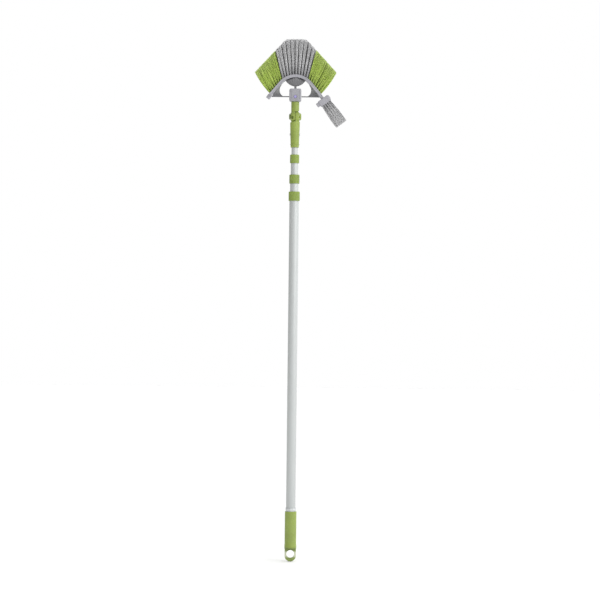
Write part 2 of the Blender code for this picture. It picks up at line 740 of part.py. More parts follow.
def make_block(parent, material):
    """The arched brush block with two legs, a stub on the left and an arm on the right."""
    half = BLOCK_DEPTH / 2
    outline = band_outline(BAND_THICKNESS / 2) + list(reversed(band_outline(-BAND_THICKNESS / 2)))
    lowered = [(x, z - SOCKET_FOOT) for x, z in outline]
    piece = make_object("head_block", slab(lowered, -half, half), parent, material)
    inside = LEG_END_OVERLAP
    arm = block(
        (-LEG_ARM_WIDTH / 2, -LEG_ARM_DEPTH / 2, -inside),
        (LEG_ARM_WIDTH / 2, LEG_ARM_DEPTH / 2, LEG_ARM_LENGTH),
    )
    end = (LEG_END.x, 0, LEG_END.z - SOCKET_FOOT)
    turn = (0, pi / 2 + DETAIL_SLOPE, 0)
    combine(piece, arm, "UNION", end, turn)
    spigot = block(
        (-SPIGOT_WIDTH / 2, -SPIGOT_DEPTH / 2, 0),
        (SPIGOT_WIDTH / 2, SPIGOT_DEPTH / 2, LEG_ARM_LENGTH + SPIGOT_LENGTH),
    )
    combine(piece, spigot, "UNION", end, turn)
    stub = block(
        (-STUB_WIDTH / 2, -STUB_DEPTH / 2, -inside),
        (STUB_WIDTH / 2, STUB_DEPTH / 2, STUB_LENGTH),
    )
    combine(piece, stub, "UNION", (-end[0], 0, end[2]), (0, -turn[1], 0))
    return piece


def make_brace(name, side, end_width, end_length, parent, material):
    """A thin plate: a tie bar from the socket and a gusset with a round inner edge. It leaves
    room for the piece on the leg's end, and for what sits past that piece's own length."""
    bar_foot = SOCKET_FOOT + BAR_ABOVE_SOCKET_FOOT
    bar_top = bar_foot + BAR_HEIGHT
    window_z = bar_foot + WINDOW_ABOVE_BAR
    socket_side = SOCKET_WIDTH / 2 + FIT
    normal = Vector((sin(ARCH_HALF_ANGLE), 0, cos(ARCH_HALF_ANGLE)))
    leg_line = LEG_START - (BAND_THICKNESS / 2 + FIT) * normal
    from_leg = WINDOW_RADIUS + WINDOW_RIM - (leg_line.z - window_z) * normal.z
    window = (leg_line.x - from_leg / normal.x, window_z)
    along = (leg_line.z - bar_foot) / -LEG_DIRECTION.z
    corner = leg_line + along * LEG_DIRECTION
    lowest = -asin((window[1] - bar_top) / WINDOW_RADIUS)
    edge = arc(window, WINDOW_RADIUS, lowest, GUSSET_TOP_ANGLE, ARC_STEPS)
    outline = [(socket_side, bar_foot), (corner.x, corner.z), (leg_line.x, leg_line.z)]
    outline += list(reversed(edge))
    outline.append((socket_side, bar_top))
    placed = [(side * x, z - SOCKET_FOOT) for x, z in outline]
    half = BRACE_THICKNESS / 2
    brace = make_object(name, slab(placed, -half, half), parent, material)
    room = end_width / 2 + FIT
    notch = block((-room, -BRACE_THICKNESS, -BAND_THICKNESS), (room, BRACE_THICKNESS, STUB_LENGTH))
    end = (side * LEG_END.x, 0, LEG_END.z - SOCKET_FOOT)
    turn = (0, side * (pi / 2 + DETAIL_SLOPE), 0)
    combine(brace, notch, "DIFFERENCE", end, turn)
    past = block(
        (-HOLDER_WIDTH, -BRACE_THICKNESS, end_length),
        (HOLDER_WIDTH, BRACE_THICKNESS, end_length + HOLDER_LENGTH),
    )
    combine(brace, past, "DIFFERENCE", end, turn)
    return brace


# ---- Bristles --------------------------------------------------------------------------
def fan_edge_z(x):
    """Height of the trimmed edge of the fan at a distance from the middle."""
    slope = FAN_CORNER_DROP / (FAN_CORNER_X - FAN_TOP_HALF_WIDTH)
    top = CROWN_TOP + FAN_TOP
    return top - max(0.0, abs(x - FAN_SHIFT) - FAN_TOP_HALF_WIDTH) * slope


def bristle_line(share):
    """Base and tip of the bristles at a share of the way, from crown 0 to a leg end, 1 or -1."""
    side = -1 if share < 0 else 1
    share = abs(share)
    distance = share * FAN_HALF_LENGTH
    radius = BAND_OUTER + FIT
    angle = min(distance, FAN_ARC_LENGTH) / BAND_OUTER
    base = Vector((radius * sin(angle), 0, ARCH_Z + radius * cos(angle)))
    base += max(0.0, distance - FAN_ARC_LENGTH) * LEG_DIRECTION
    if share < PARTING:
        lean = CENTRE_EDGE_LEAN * share / PARTING
    else:
        lean = CENTRE_EDGE_LEAN + (FAN_LEAN - CENTRE_EDGE_LEAN) * (share - PARTING) / (1 - PARTING)
    base.x *= side
    direction = Vector((side * sin(lean), 0, cos(lean)))
    near = 0.0
    far = 2 * FAN_TOP
    for _ in range(30):
        middle_length = (near + far) / 2
        point = base + middle_length * direction
        if point.z < fan_edge_z(point.x):
            near = middle_length
        else:
            far = middle_length
    return base, base + near * direction


def make_bristles(name, start, end, steps, parent, material):
    """One fan of bristles as a plain solid that widens towards its tips."""
    editor = bmesh.new()
    rows = []
    for step in range(steps + 1):
        share = start + (end - start) * step / steps
        row = []
        for point, depth in zip(bristle_line(share), (BRISTLE_BASE_DEPTH, BRISTLE_TIP_DEPTH)):
            for y in (-depth / 2, depth / 2):
                row.append(editor.verts.new((point.x, y, point.z - SOCKET_FOOT)))
        rows.append(row)
    for one, two in zip(rows, rows[1:]):
        for first, second in ((0, 2), (2, 3), (3, 1), (1, 0)):
            editor.faces.new((one[first], one[second], two[second], two[first]))
    editor.faces.new([rows[0][index] for index in (0, 1, 3, 2)])
    editor.faces.new([rows[-1][index] for index in (0, 2, 3, 1)])
    return make_object(name, editor, parent, material)


def make_holder(parent, material):
    """The small brush's holder, with two ears and a pocket for the spigot."""
    foot = LEG_ARM_LENGTH + FIT
    top = foot + HOLDER_LENGTH
    half = HOLDER_WIDTH / 2
    shape = block((-half, -HOLDER_DEPTH / 2, foot), (half, HOLDER_DEPTH / 2, top), 0.002, 2)
    holder = make_object("detail_holder", shape, parent, material)
    ear_foot = foot + (HOLDER_LENGTH - EAR_LENGTH) / 3
    ears = block(
        (-EAR_HIGH, -EAR_DEPTH / 2, ear_foot),
        (EAR_LOW, EAR_DEPTH / 2, ear_foot + EAR_LENGTH),
        0.0015,
        2,
    )
    combine(holder, ears, "UNION")
    pocket = block(
        (-SPIGOT_WIDTH / 2 - FIT, -SPIGOT_DEPTH / 2 - FIT, 0),
        (SPIGOT_WIDTH / 2 + FIT, SPIGOT_DEPTH / 2 + FIT, LEG_ARM_LENGTH + SPIGOT_LENGTH + FIT),
    )
    combine(holder, pocket, "DIFFERENCE")
    return holder


def make_detail_bristles(parent, material):
    foot = LEG_ARM_LENGTH + HOLDER_LENGTH + 2 * FIT
    editor = block((-0.5, -0.5, foot), (0.5, 0.5, foot + DETAIL_BRISTLE_LENGTH))
    for vertex in editor.verts:
        at_tip = vertex.co.z > foot + DETAIL_BRISTLE_LENGTH / 2
        width = DETAIL_BRISTLE_SPREAD if at_tip else DETAIL_BRISTLE_WIDTH
        depth = HOLDER_DEPTH if at_tip else HOLDER_DEPTH * 0.75
        vertex.co.x *= width
        vertex.co.y *= depth
    return make_object("detail_bristles", editor, parent, material)


# ---- Assembly --------------------------------------------------------------------------
def build():
    clear_scene()
    green = make_material("green_plastic", GREEN, 0.45)
    dark_green = make_material("dark_green_plastic", DARK_GREEN, 0.5)
    grey = make_material("grey_plastic", GREY, 0.45)
    dark_grey = make_material("dark_grey_plastic", DARK_GREY, 0.5)
    silver = make_material("silver_paint", SILVER, 0.35)
    steel = make_material("steel", (0.6, 0.6, 0.6), 0.3, 1.0)
    bluish = make_material("bluish_plastic", (0.34, 0.31, 0.53), 0.4)
    grey_hair = make_material("grey_bristle", (0.30, 0.30, 0.31), 0.6)
    green_hair = make_material("green_bristle", (0.32, 0.43, 0.08), 0.6)

    pole = make_frame("pole_frame", None, (0, 0, 0))
    make_loop_cap(pole, dark_green)
    make_grip(pole, green)
    make_trim_ring(pole, silver)
    make_tube("outer_tube", 0, pole, silver, 0)

    section = pole
    section_z = 0
    for index in range(3):
        make_collet(index, section, grey, section_z)
        ring_frame = make_frame(
            f"lock_{index + 1}_frame", section, (0, 0, COLLAR_FEET[index] - section_z)
        )
        make_collar(index, ring_frame, green, COLLAR_FEET[index])
        foot = TUBE_FEET[index + 1]
        section = make_frame(f"section_{index + 2}_frame", section, (0, 0, foot - section_z))
        section_z = foot
        last_tube = make_tube(f"tube_{index + 2}", index + 1, section, silver, section_z)
        make_bush(index + 1, section, grey, section_z)

    make_sleeve(section, green, last_tube, section_z)
    make_rivet(section, steel, section_z)
    make_bolt(section, dark_green, section_z)

    knuckle = make_frame("knuckle_frame", section, (0, 0, KNUCKLE_Z - section_z))
    make_arm(knuckle, green)
    make_washer(knuckle, dark_grey)
    knob_frame = make_frame("clamp_frame", section, (0, 0, KNUCKLE_Z - section_z))
    make_knob(knob_frame, green)

    head = make_frame("head_frame", knuckle, (0, 0, SOCKET_FOOT - KNUCKLE_Z))
    make_socket(head, grey)
    make_spring(head, steel)
    make_keel(head, dark_grey)
    make_block(head, grey)
    make_brace("left_brace", -1, STUB_WIDTH, STUB_LENGTH, head, dark_grey)
    make_brace("right_brace", 1, LEG_ARM_WIDTH, LEG_ARM_LENGTH, head, dark_grey)
    gap = 1.2 * FIT / FAN_HALF_LENGTH
    make_bristles("centre_bristles", -PARTING, PARTING, 20, head, grey_hair)
    make_bristles("left_bristles", -1, -PARTING - gap, 10, head, green_hair)
    make_bristles("right_bristles", PARTING + gap, 1, 10, head, green_hair)

    button_frame = make_frame("button_frame", head, (0, 0, BUTTON_HEIGHT))
    make_button(button_frame, bluish)

    end = (LEG_END.x, 0, LEG_END.z - SOCKET_FOOT)
    detail = make_frame("detail_frame", head, end, (0, pi / 2 + DETAIL_SLOPE, 0))
    make_holder(detail, grey)
    make_detail_bristles(detail, grey_hair)
    bpy.context.view_layer.update()


build()
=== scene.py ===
# %% [markdown]
# # A telescopic cleaning pole with a fan brush head
# The pole stands upright with its loop at the bottom and the brush at the top. The packed
# model gives every size and place, so this lesson only adds what the eye wants: round
# edges, ribs, thousands of bristles and the finish of each material.

# %% Load the frame
import json
from math import acos, asin, atan2, cos, pi, radians, sin, sqrt

import bmesh
import bpy
import numpy as np
from mathutils import Matrix, Vector


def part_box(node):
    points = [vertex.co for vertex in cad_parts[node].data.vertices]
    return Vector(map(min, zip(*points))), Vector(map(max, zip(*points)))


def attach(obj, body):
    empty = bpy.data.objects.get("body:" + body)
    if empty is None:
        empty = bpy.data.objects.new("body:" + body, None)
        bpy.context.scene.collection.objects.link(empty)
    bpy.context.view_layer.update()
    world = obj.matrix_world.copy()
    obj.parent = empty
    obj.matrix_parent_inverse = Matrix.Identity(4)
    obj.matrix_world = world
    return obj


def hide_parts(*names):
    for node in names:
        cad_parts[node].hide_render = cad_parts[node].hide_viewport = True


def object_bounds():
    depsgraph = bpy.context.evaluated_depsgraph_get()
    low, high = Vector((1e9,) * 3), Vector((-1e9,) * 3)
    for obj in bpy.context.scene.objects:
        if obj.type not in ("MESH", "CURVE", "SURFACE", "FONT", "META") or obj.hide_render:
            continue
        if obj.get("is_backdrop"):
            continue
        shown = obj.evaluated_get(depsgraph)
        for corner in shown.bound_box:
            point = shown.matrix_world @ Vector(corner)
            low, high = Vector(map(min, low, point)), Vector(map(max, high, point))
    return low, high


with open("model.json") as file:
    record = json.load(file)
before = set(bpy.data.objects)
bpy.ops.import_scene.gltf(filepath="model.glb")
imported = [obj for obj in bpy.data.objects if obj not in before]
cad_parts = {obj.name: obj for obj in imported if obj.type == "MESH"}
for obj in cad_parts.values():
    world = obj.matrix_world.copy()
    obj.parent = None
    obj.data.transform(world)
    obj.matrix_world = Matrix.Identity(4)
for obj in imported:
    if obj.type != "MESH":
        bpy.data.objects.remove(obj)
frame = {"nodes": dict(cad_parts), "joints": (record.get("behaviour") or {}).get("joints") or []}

cad_low, cad_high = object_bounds()
joints = {joint["name"]: joint for joint in frame["joints"]}
print("the whole pole is", round((cad_high.z - cad_low.z) * 1000), "mm tall")

# %% [markdown]
# ## Camera and light
# A pole is over fifty times taller than it is thick, so a long lens from far away keeps its
# sides parallel. It leans by a little over half a degree, which a roll of the camera gives
# without tilting the object. The room is a white cove: a pale floor and a white world.
# A round tube lit evenly from all sides looks flat, so the world gives less light from the
# left than from the right, while the camera still sees it white, and one large soft lamp
# stands at the right front.

# %% Camera
MM = 0.001
VIEW_HEIGHT = 1.770
CAMERA_DISTANCE = 7.0
CLIP_END = 60.0
SENSOR = 36.0
AIM = Vector((0.0205, 0, 0.749))
LEAN = radians(0.64)


def add_object(name, data):
    """Put a mesh, a lamp or a camera into the scene."""
    item = bpy.data.objects.new(name, data)
    bpy.context.scene.collection.objects.link(item)
    return item


camera_data = bpy.data.cameras.new("camera")
camera_data.sensor_width = SENSOR
camera_data.lens = SENSOR * CAMERA_DISTANCE / VIEW_HEIGHT
camera_data.clip_end = CLIP_END
camera = add_object("camera", camera_data)
camera.matrix_world = (
    Matrix.Translation(AIM - Vector((0, CAMERA_DISTANCE, 0)))
    @ Matrix.Rotation(-LEAN, 4, "Y")
    @ Matrix.Rotation(pi / 2, 4, "X")
)
bpy.context.scene.camera = camera
print("lens", round(camera_data.lens), "mm")


# %% Node helpers
def put(tree, kind, values=None, **settings):
    """Add a node. Each value is linked if it is a socket, and typed in otherwise."""
    node = tree.nodes.new(kind)
    for key, value in settings.items():
        setattr(node, key, value)
    for key, value in (values or {}).items():
        if isinstance(value, bpy.types.NodeSocket):
            tree.links.new(value, node.inputs[key])
        else:
            node.inputs[key].default_value = value
    return node


def add(tree, kind, values=None, **settings):
    """Add a node and give its first output."""
    return put(tree, kind, values, **settings).outputs[0]


def calc(tree, operation, *values):
    """One step of arithmetic on numbers that change over the surface."""
    return add(tree, "ShaderNodeMath", dict(enumerate(values)), operation=operation)


def product(tree, first, *others):
    for other in others:
        first = calc(tree, "MULTIPLY", first, other)
    return first


def vector_sum(tree, first, *others):
    for other in others:
        first = add(tree, "ShaderNodeVectorMath", {0: first, 1: other}, operation="ADD")
    return first


def scaled(tree, vector, factor):
    return add(tree, "ShaderNodeVectorMath", {"Vector": vector, "Scale": factor}, operation="SCALE")


def component(tree, vector, axis):
    return put(tree, "ShaderNodeSeparateXYZ", {0: vector}).outputs[axis]


def noise(tree, place, scale, detail=2.0):
    return add(tree, "ShaderNodeTexNoise", {"Vector": place, "Scale": scale, "Detail": detail})


def remap(tree, value, low, high, to_low=0.0, to_high=1.0):
    ends = {"From Min": low, "From Max": high, "To Min": to_low, "To Max": to_high}
    return add(tree, "ShaderNodeMapRange", {"Value": value, **ends})


def blend_colours(tree, factor, *colours):
    values = {"Factor": factor}
    for index, colour in zip((6, 7), colours):
        values[index] = colour if isinstance(colour, bpy.types.NodeSocket) else (*colour, 1.0)
    return put(tree, "ShaderNodeMix", values, data_type="RGBA").outputs[2]


def new_material(name):
    """A material, its node tree and its shader."""
    material = bpy.data.materials.new(name)
    material.use_nodes = True
    return material, material.node_tree, material.node_tree.nodes["Principled BSDF"]


print("helpers ready")

# %% Stage, world and lamp
FLOOR_HALF = 14.0
FLOOR_GAP = 0.0005
FLOOR_TONE = 0.98
FLOOR_ROUGHNESS = 0.9
DIM_SIDE = 0.50
BRIGHT_SIDE = 1.56
SIDE_REACH = 0.7
KEY_PLACE = Vector((3.4, -3.4, 2.8))
KEY_TARGET = Vector((0, 0, 0.9))
KEY_SIZE = 3.6
KEY_POWER = 60

floor_mesh = bpy.data.meshes.new("floor")
floor_z = cad_low.z - FLOOR_GAP
corners = [(FLOOR_HALF * x, FLOOR_HALF * y, floor_z) for x, y in ((-1, -1), (1, -1), (1, 1), (-1, 1))]
floor_mesh.from_pydata(corners, [], [(0, 1, 2, 3)])
floor = add_object("floor", floor_mesh)
floor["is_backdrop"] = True
floor_paint, _, floor_shader = new_material("pale_floor")
floor_shader.inputs["Base Color"].default_value = (FLOOR_TONE, FLOOR_TONE, FLOOR_TONE, 1)
floor_shader.inputs["Roughness"].default_value = FLOOR_ROUGHNESS
floor_mesh.materials.append(floor_paint)

world = bpy.data.worlds.new("white_room")
world.use_nodes = True
bpy.context.scene.world = world
room = world.node_tree
sky = room.nodes["Background"]
sky.inputs["Color"].default_value = (1, 1, 1, 1)
rightward = component(room, put(room, "ShaderNodeTexCoord").outputs["Generated"], "X")
sideways = remap(room, rightward, -SIDE_REACH, SIDE_REACH, DIM_SIDE, BRIGHT_SIDE)
seen = put(room, "ShaderNodeLightPath").outputs["Is Camera Ray"]
lighting = product(room, sideways, calc(room, "SUBTRACT", 1.0, seen))
room.links.new(calc(room, "ADD", lighting, seen), sky.inputs["Strength"])
bpy.context.scene.view_settings.view_transform = "Standard"

key_data = bpy.data.lights.new("key", "AREA")
key_data.shape = "SQUARE"
key_data.size = KEY_SIZE
key_data.energy = KEY_POWER
key = add_object("key", key_data)
key.location = KEY_PLACE
key.rotation_euler = (KEY_TARGET - KEY_PLACE).to_track_quat("-Z", "Y").to_euler()
print("stage set, floor at", round(cad_low.z, 4))

# %% [markdown]
# ## Shared surface effects
# Moulded plastic is never one flat colour: it has a fine grain from the mould, a slow drift of
# tone, rubbed edges and a little dust on what faces up. Each effect is a node group, so every
# plastic uses the same one. A group only puts out masks and heights, and the shader itself
# stays in the material.


# %% Shader groups
def new_group(name, inputs, outputs):
    """An empty shader group with named number inputs and number outputs."""
    group = bpy.data.node_groups.new(name, "ShaderNodeTree")
    for label, value in inputs.items():
        socket = group.interface.new_socket(label, in_out="INPUT", socket_type="NodeSocketFloat")
        socket.default_value = value
    for label in outputs:
        group.interface.new_socket(label, in_out="OUTPUT", socket_type="NodeSocketFloat")
    place = put(group, "ShaderNodeTexCoord").outputs["Object"]
    return group, put(group, "NodeGroupInput").outputs, put(group, "NodeGroupOutput").inputs, place


def build_moulding():
    """Fine mould grain as a height, and slow drift of tone as a mask."""
    sizes = {"Grain": 1500.0, "Drift": 25.0}
    group, given, result, place = new_group("moulding", sizes, ["Height", "Tone"])
    group.links.new(noise(group, place, given["Grain"], 3.0), result["Height"])
    drift = noise(group, place, given["Drift"], 4.0)
    group.links.new(remap(group, drift, 0.3, 0.7), result["Tone"])
    return group


def build_wear():
    """A mask of rubbed edges, broken up by noise."""
    sizes = {"From": 0.53, "To": 0.60, "Break up": 180.0}
    group, given, result, place = new_group("edge_wear", sizes, ["Wear"])
    point = put(group, "ShaderNodeNewGeometry").outputs["Pointiness"]
    edge = remap(group, point, given["From"], given["To"])
    broken = remap(group, noise(group, place, given["Break up"]), 0.4, 0.65, 0.1, 1.0)
    group.links.new(product(group, edge, broken), result["Wear"])
    return group


def build_dust():
    """A mask of dust on faces that look up, patchy like real dust."""
    group, given, result, place = new_group("dust", {"Patch": 60.0}, ["Dust"])
    facing = component(group, put(group, "ShaderNodeNewGeometry").outputs["Normal"], "Z")
    patchy = remap(group, noise(group, place, given["Patch"], 5.0), 0.35, 0.7, 0.3, 1.0)
    group.links.new(product(group, remap(group, facing, 0.2, 1.0), patchy), result["Dust"])
    return group


MOULDING = build_moulding()
WEAR = build_wear()
DUST = build_dust()
print("groups:", MOULDING.name, WEAR.name, DUST.name)

# %% [markdown]
# ## Finishes
# Three families cover the pole: satin moulded plastic in greens and greys and a bluish button, with painted
# light on the loop, the keel and the braces; satin metal with fine drawing lines, for the tubes, the trim
# ring and the steel parts; and the bristles, whose tone changes from strand to strand, with painted shade at
# their roots and in the inner rows. One function makes each family.


# %% Plastic and tube materials
def toned(colour, factor, lift=0.0):
    return [min(1.0, factor * part + lift) for part in colour]


def connect(tree, shader, base, rough, height=None, strength=0.0, depth=0.0):
    """Feed a shader its colour and roughness, and a bump if there is a height."""
    tree.links.new(base, shader.inputs["Base Color"])
    tree.links.new(rough, shader.inputs["Roughness"])
    if height is not None:
        values = {"Strength": strength, "Distance": depth, "Height": height}
        tree.links.new(add(tree, "ShaderNodeBump", values), shader.inputs["Normal"])


def plastic(name, colour, roughness=0.42, grain=0.2, painted_light_band=None):
    """Satin moulded plastic with grain, drift of tone, rubbed edges and dust. A painted light band gives
    (height, full within, none beyond, colour): a band of another colour round a height, used for the painted
    highlight on the loop and the painted shade on the braces."""
    material, tree, shader = new_material(name)
    moulding = put(tree, "ShaderNodeGroup", node_tree=MOULDING)
    tone = moulding.outputs["Tone"]
    base = blend_colours(tree, tone, toned(colour, 0.88), toned(colour, 1.08, 0.004))
    # Painted light: the band of another colour round a height is a painted highlight on the loop and painted
    # shade on the braces.
    if painted_light_band is not None:
        middle, near, far, other = painted_light_band
        height = component(tree, put(tree, "ShaderNodeTexCoord").outputs["Object"], "Z")
        away = calc(tree, "ABSOLUTE", calc(tree, "SUBTRACT", height, middle))
        base = blend_colours(tree, remap(tree, away, near, far, 1.0, 0.0), base, other)
    rubbed, dusty = toned(colour, 0.55, 0.30), toned(colour, 0.7, 0.17)
    for group, amount, cover in ((WEAR, 0.25, rubbed), (DUST, 0.12, dusty)):
        mask = product(tree, add(tree, "ShaderNodeGroup", node_tree=group), amount)
        base = blend_colours(tree, mask, base, cover)
    rough = remap(tree, tone, 0.0, 1.0, roughness - 0.05, roughness + 0.06)
    connect(tree, shader, base, rough, moulding.outputs["Height"], grain, 0.0002)
    return material


def drawn_tube(name, colour, metal, roughness):
    """Satin metal: drawing lines along its length and faint rubbing."""
    material, tree, shader = new_material(name)
    place = put(tree, "ShaderNodeTexCoord").outputs["Object"]
    stretched = add(tree, "ShaderNodeMapping", {"Vector": place, "Scale": (900.0, 900.0, 5.0)})
    rings = add(tree, "ShaderNodeMapping", {"Vector": place, "Scale": (40.0, 40.0, 900.0)})
    lines = noise(tree, stretched, 1.0, 4.0)
    clouds = noise(tree, place, 9.0, 5.0)
    tone = calc(tree, "ADD", product(tree, lines, 0.5), product(tree, clouds, 0.5))
    base = blend_colours(tree, remap(tree, tone, 0.35, 0.65), toned(colour, 0.93), colour)
    scuff = remap(tree, noise(tree, rings, 1.0), 0.66, 0.74, 0.0, 0.12)
    base = blend_colours(tree, scuff, base, toned(colour, 0.6))
    rough = remap(tree, tone, 0.3, 0.7, roughness - 0.06, roughness + 0.08)
    connect(tree, shader, base, rough, lines, 0.12, 0.0001)
    shader.inputs["Metallic"].default_value = metal
    return material


# Painted highlight: the hanging loop's sides at the height of its hole are painted pale, as if lit from the
# sides.
PAINTED_HIGHLIGHT_BY_HOLE = (-0.001, 0.005, 0.011, (0.52, 0.55, 0.40))
# Painted shade: the braces darken round the height of the bar at their foot, as if shaded there.
PAINTED_SHADE_AT_BAR = (1.350, 0.004, 0.024, (0.13, 0.13, 0.138))
GREEN = plastic("green_plastic", (0.247, 0.322, 0.056))
COLLAR_GREEN = plastic("collar_green_plastic", (0.204, 0.282, 0.036))
OLIVE = plastic("olive_plastic", (0.150, 0.200, 0.045))
LOOP_GREEN = plastic("loop_green_painted_highlight", (0.195, 0.255, 0.060), painted_light_band=PAINTED_HIGHLIGHT_BY_HOLE)
GREY = plastic("grey_plastic", (0.325, 0.322, 0.350))
# Painted shade: the keel's grey is about half as bright as the block's, for the shade under the crown.
KEEL_PAINTED_SHADE_GREY = plastic("keel_painted_shade_grey", (0.165, 0.165, 0.172), 0.5)
BRACE_GREY = plastic("brace_grey_painted_shade", (0.330, 0.338, 0.322), 0.5, painted_light_band=PAINTED_SHADE_AT_BAR)
BLUISH = plastic("bluish_plastic", (0.37, 0.33, 0.64), 0.3, 0.1)
WASHER = plastic("fibre_washer", (0.09, 0.10, 0.05), 0.8)
INNER_GREY = plastic("inner_grey_plastic", (0.22, 0.22, 0.23))
SATIN = drawn_tube("satin_tube", (0.495, 0.515, 0.51), 0.25, 0.38)
TRIM = drawn_tube("polished_trim", (0.60, 0.62, 0.62), 0.4, 0.26)
STEEL = drawn_tube("steel", (0.55, 0.55, 0.56), 1.0, 0.28)
print("materials:", len(bpy.data.materials))


# %% Bristle material
def bristle_material(name, root, body, tip):
    """Plastic strands with a tone of their own for each strand and tuft. Painted shade darkens them towards
    the root, and more so in tufts of low tone such as the inner rows; it fades out towards the tips, so the
    tips are all alike."""
    material, tree, shader = new_material(name)
    strand = put(tree, "ShaderNodeAttribute", attribute_name="strand").outputs["Vector"]
    along, tuft, own = (component(tree, strand, axis) for axis in "XYZ")
    # Painted shade: the root colour is darker than the body.
    base = blend_colours(tree, remap(tree, along, 0.0, 0.35), root, body)
    base = blend_colours(tree, remap(tree, along, 0.6, 1.0), base, tip)
    tone = calc(tree, "ADD", product(tree, tuft, 0.92), product(tree, own, 0.08))
    # Painted shade: tufts of low tone darken towards a dim copy of the body colour, less towards the tips.
    shaded = remap(tree, tone, 0.15, 0.75, 0.9, 0.0)
    shaded = product(tree, shaded, remap(tree, along, 0.55, 0.95, 1.0, 0.2))
    base = blend_colours(tree, shaded, base, toned(body, 0.42))
    connect(tree, shader, base, remap(tree, own, 0.0, 1.0, 0.7, 0.9))
    shader.inputs["Specular IOR Level"].default_value = 0.15
    return material


GREEN_HAIR = bristle_material(
    "green_bristle", (0.37, 0.49, 0.11), (0.53, 0.68, 0.155), (0.58, 0.71, 0.23)
)
GREY_HAIR = bristle_material(
    "grey_bristle", (0.38, 0.38, 0.39), (0.64, 0.64, 0.645), (0.69, 0.69, 0.695)
)
print("bristle materials ready")

# %% [markdown]
# ## Mesh tools
# Most pieces are turned or moulded. A turned piece is an outline swept round an axis, with
# every corner of the outline rounded first, as no real edge is sharp. A moulded piece is built
# from plain solids that are joined and cut, and then wrapped in a fine skin with a Remesh
# modifier and relaxed a little, which leaves the soft inner and outer edges of a mould.


# %% Mesh tools
def rounded(points, radius, closed=True, steps=3):
    """Round each corner of an outline. The rounding never uses more than half a side."""
    count = len(points)
    result = []
    for index, point in enumerate(points):
        here = Vector(point)
        if not closed and index in (0, count - 1):
            result.append(tuple(here))
            continue
        before = Vector(points[index - 1]) - here
        after = Vector(points[(index + 1) % count]) - here
        reach = min(radius, 0.45 * before.length, 0.45 * after.length)
        start = here + before.normalized() * reach
        end = here + after.normalized() * reach
        for step in range(steps + 1):
            t = step / steps
            result.append(tuple((1 - t) ** 2 * start + 2 * t * (1 - t) * here + t * t * end))
    return result


def arc(centre, radius, start, end, steps):
    """Points along an arc, with angles from the first axis towards the second."""
    turns = [start + (end - start) * step / steps for step in range(steps + 1)]
    return [(centre[0] + radius * cos(turn), centre[1] + radius * sin(turn)) for turn in turns]

ROUND_STEPS = 96


def lathe(profile, steps=ROUND_STEPS, axis="Z", centre=(0, 0, 0)):
    """Turn an outline of (radius, height) points about an axis. A radius of 0 is a pole."""
    editor = bmesh.new()
    rings = []
    for radius, height in profile:
        if radius < 1e-9:
            rings.append([editor.verts.new((0, 0, height))])
            continue
        turns = [2 * pi * step / steps for step in range(steps)]
        rings.append([editor.verts.new((radius * cos(turn), radius * sin(turn), height)) for turn in turns])
    pairs = list(zip(rings, rings[1:]))
    if len(rings[0]) > 1:
        pairs.append((rings[-1], rings[0]))
    for lower, upper in pairs:
        for step in range(steps):
            after = (step + 1) % steps
            if len(lower) == 1:
                editor.faces.new((lower[0], upper[after], upper[step]))
            elif len(upper) == 1:
                editor.faces.new((lower[step], lower[after], upper[0]))
            else:
                editor.faces.new((lower[step], lower[after], upper[after], upper[step]))
    if axis == "X":
        bmesh.ops.rotate(editor, verts=editor.verts, matrix=Matrix.Rotation(pi / 2, 3, "Y"))
    if axis == "Y":
        bmesh.ops.rotate(editor, verts=editor.verts, matrix=Matrix.Rotation(-pi / 2, 3, "X"))
    bmesh.ops.translate(editor, verts=editor.verts, vec=centre)
    bmesh.ops.recalc_face_normals(editor, faces=editor.faces)
    return editor


def rod(radius, low, high, steps=ROUND_STEPS, axis="Z", centre=(0, 0, 0)):
    """A plain turned rod."""
    return lathe([(0, low), (radius, low), (radius, high), (0, high)], steps, axis, centre)


def box(low, high, rounding=0.0, segments=3, place=None):
    """A box with rounded edges, turned and moved by a matrix if one is given."""
    editor = bmesh.new()
    size = Vector(high) - Vector(low)
    middle = (Vector(high) + Vector(low)) / 2
    bmesh.ops.create_cube(editor, size=1.0, matrix=Matrix.Translation(middle) @ Matrix.Diagonal((*size, 1)))
    if rounding:
        bmesh.ops.bevel(
            editor, geom=editor.edges[:], offset=rounding, segments=segments, profile=0.5, affect="EDGES"
        )
    if place is not None:
        bmesh.ops.transform(editor, matrix=place, verts=editor.verts)
    return editor


def beam(half_x, half_y, low, high, rounding=0.0, segments=3, place=None):
    """A box that is centred on the axis it is laid along."""
    return box((-half_x, -half_y, low), (half_x, half_y, high), rounding, segments, place)


def plate(outline, low_y, high_y):
    """A flat plate of an (x, z) outline between two depths."""
    editor = bmesh.new()
    front = [editor.verts.new((x, low_y, z)) for x, z in outline]
    back = [editor.verts.new((x, high_y, z)) for x, z in outline]
    editor.faces.new(front)
    editor.faces.new(list(reversed(back)))
    for index in range(len(outline)):
        after = (index + 1) % len(outline)
        editor.faces.new((front[index], back[index], back[after], front[after]))
    bmesh.ops.recalc_face_normals(editor, faces=editor.faces)
    return editor


def loft(sections):
    """A closed skin through rings of points, with flat ends."""
    editor = bmesh.new()
    rings = [[editor.verts.new(point) for point in section] for section in sections]
    for lower, upper in zip(rings, rings[1:]):
        for index in range(len(lower)):
            after = (index + 1) % len(lower)
            editor.faces.new((lower[index], lower[after], upper[after], upper[index]))
    editor.faces.new(list(reversed(rings[0])))
    editor.faces.new(rings[-1])
    bmesh.ops.recalc_face_normals(editor, faces=editor.faces)
    return editor


SHADE_ANGLE = radians(38)


def to_object(name, editor):
    """A plain object from bmesh data."""
    mesh = bpy.data.meshes.new(name)
    editor.to_mesh(mesh)
    editor.free()
    return add_object(name, mesh)


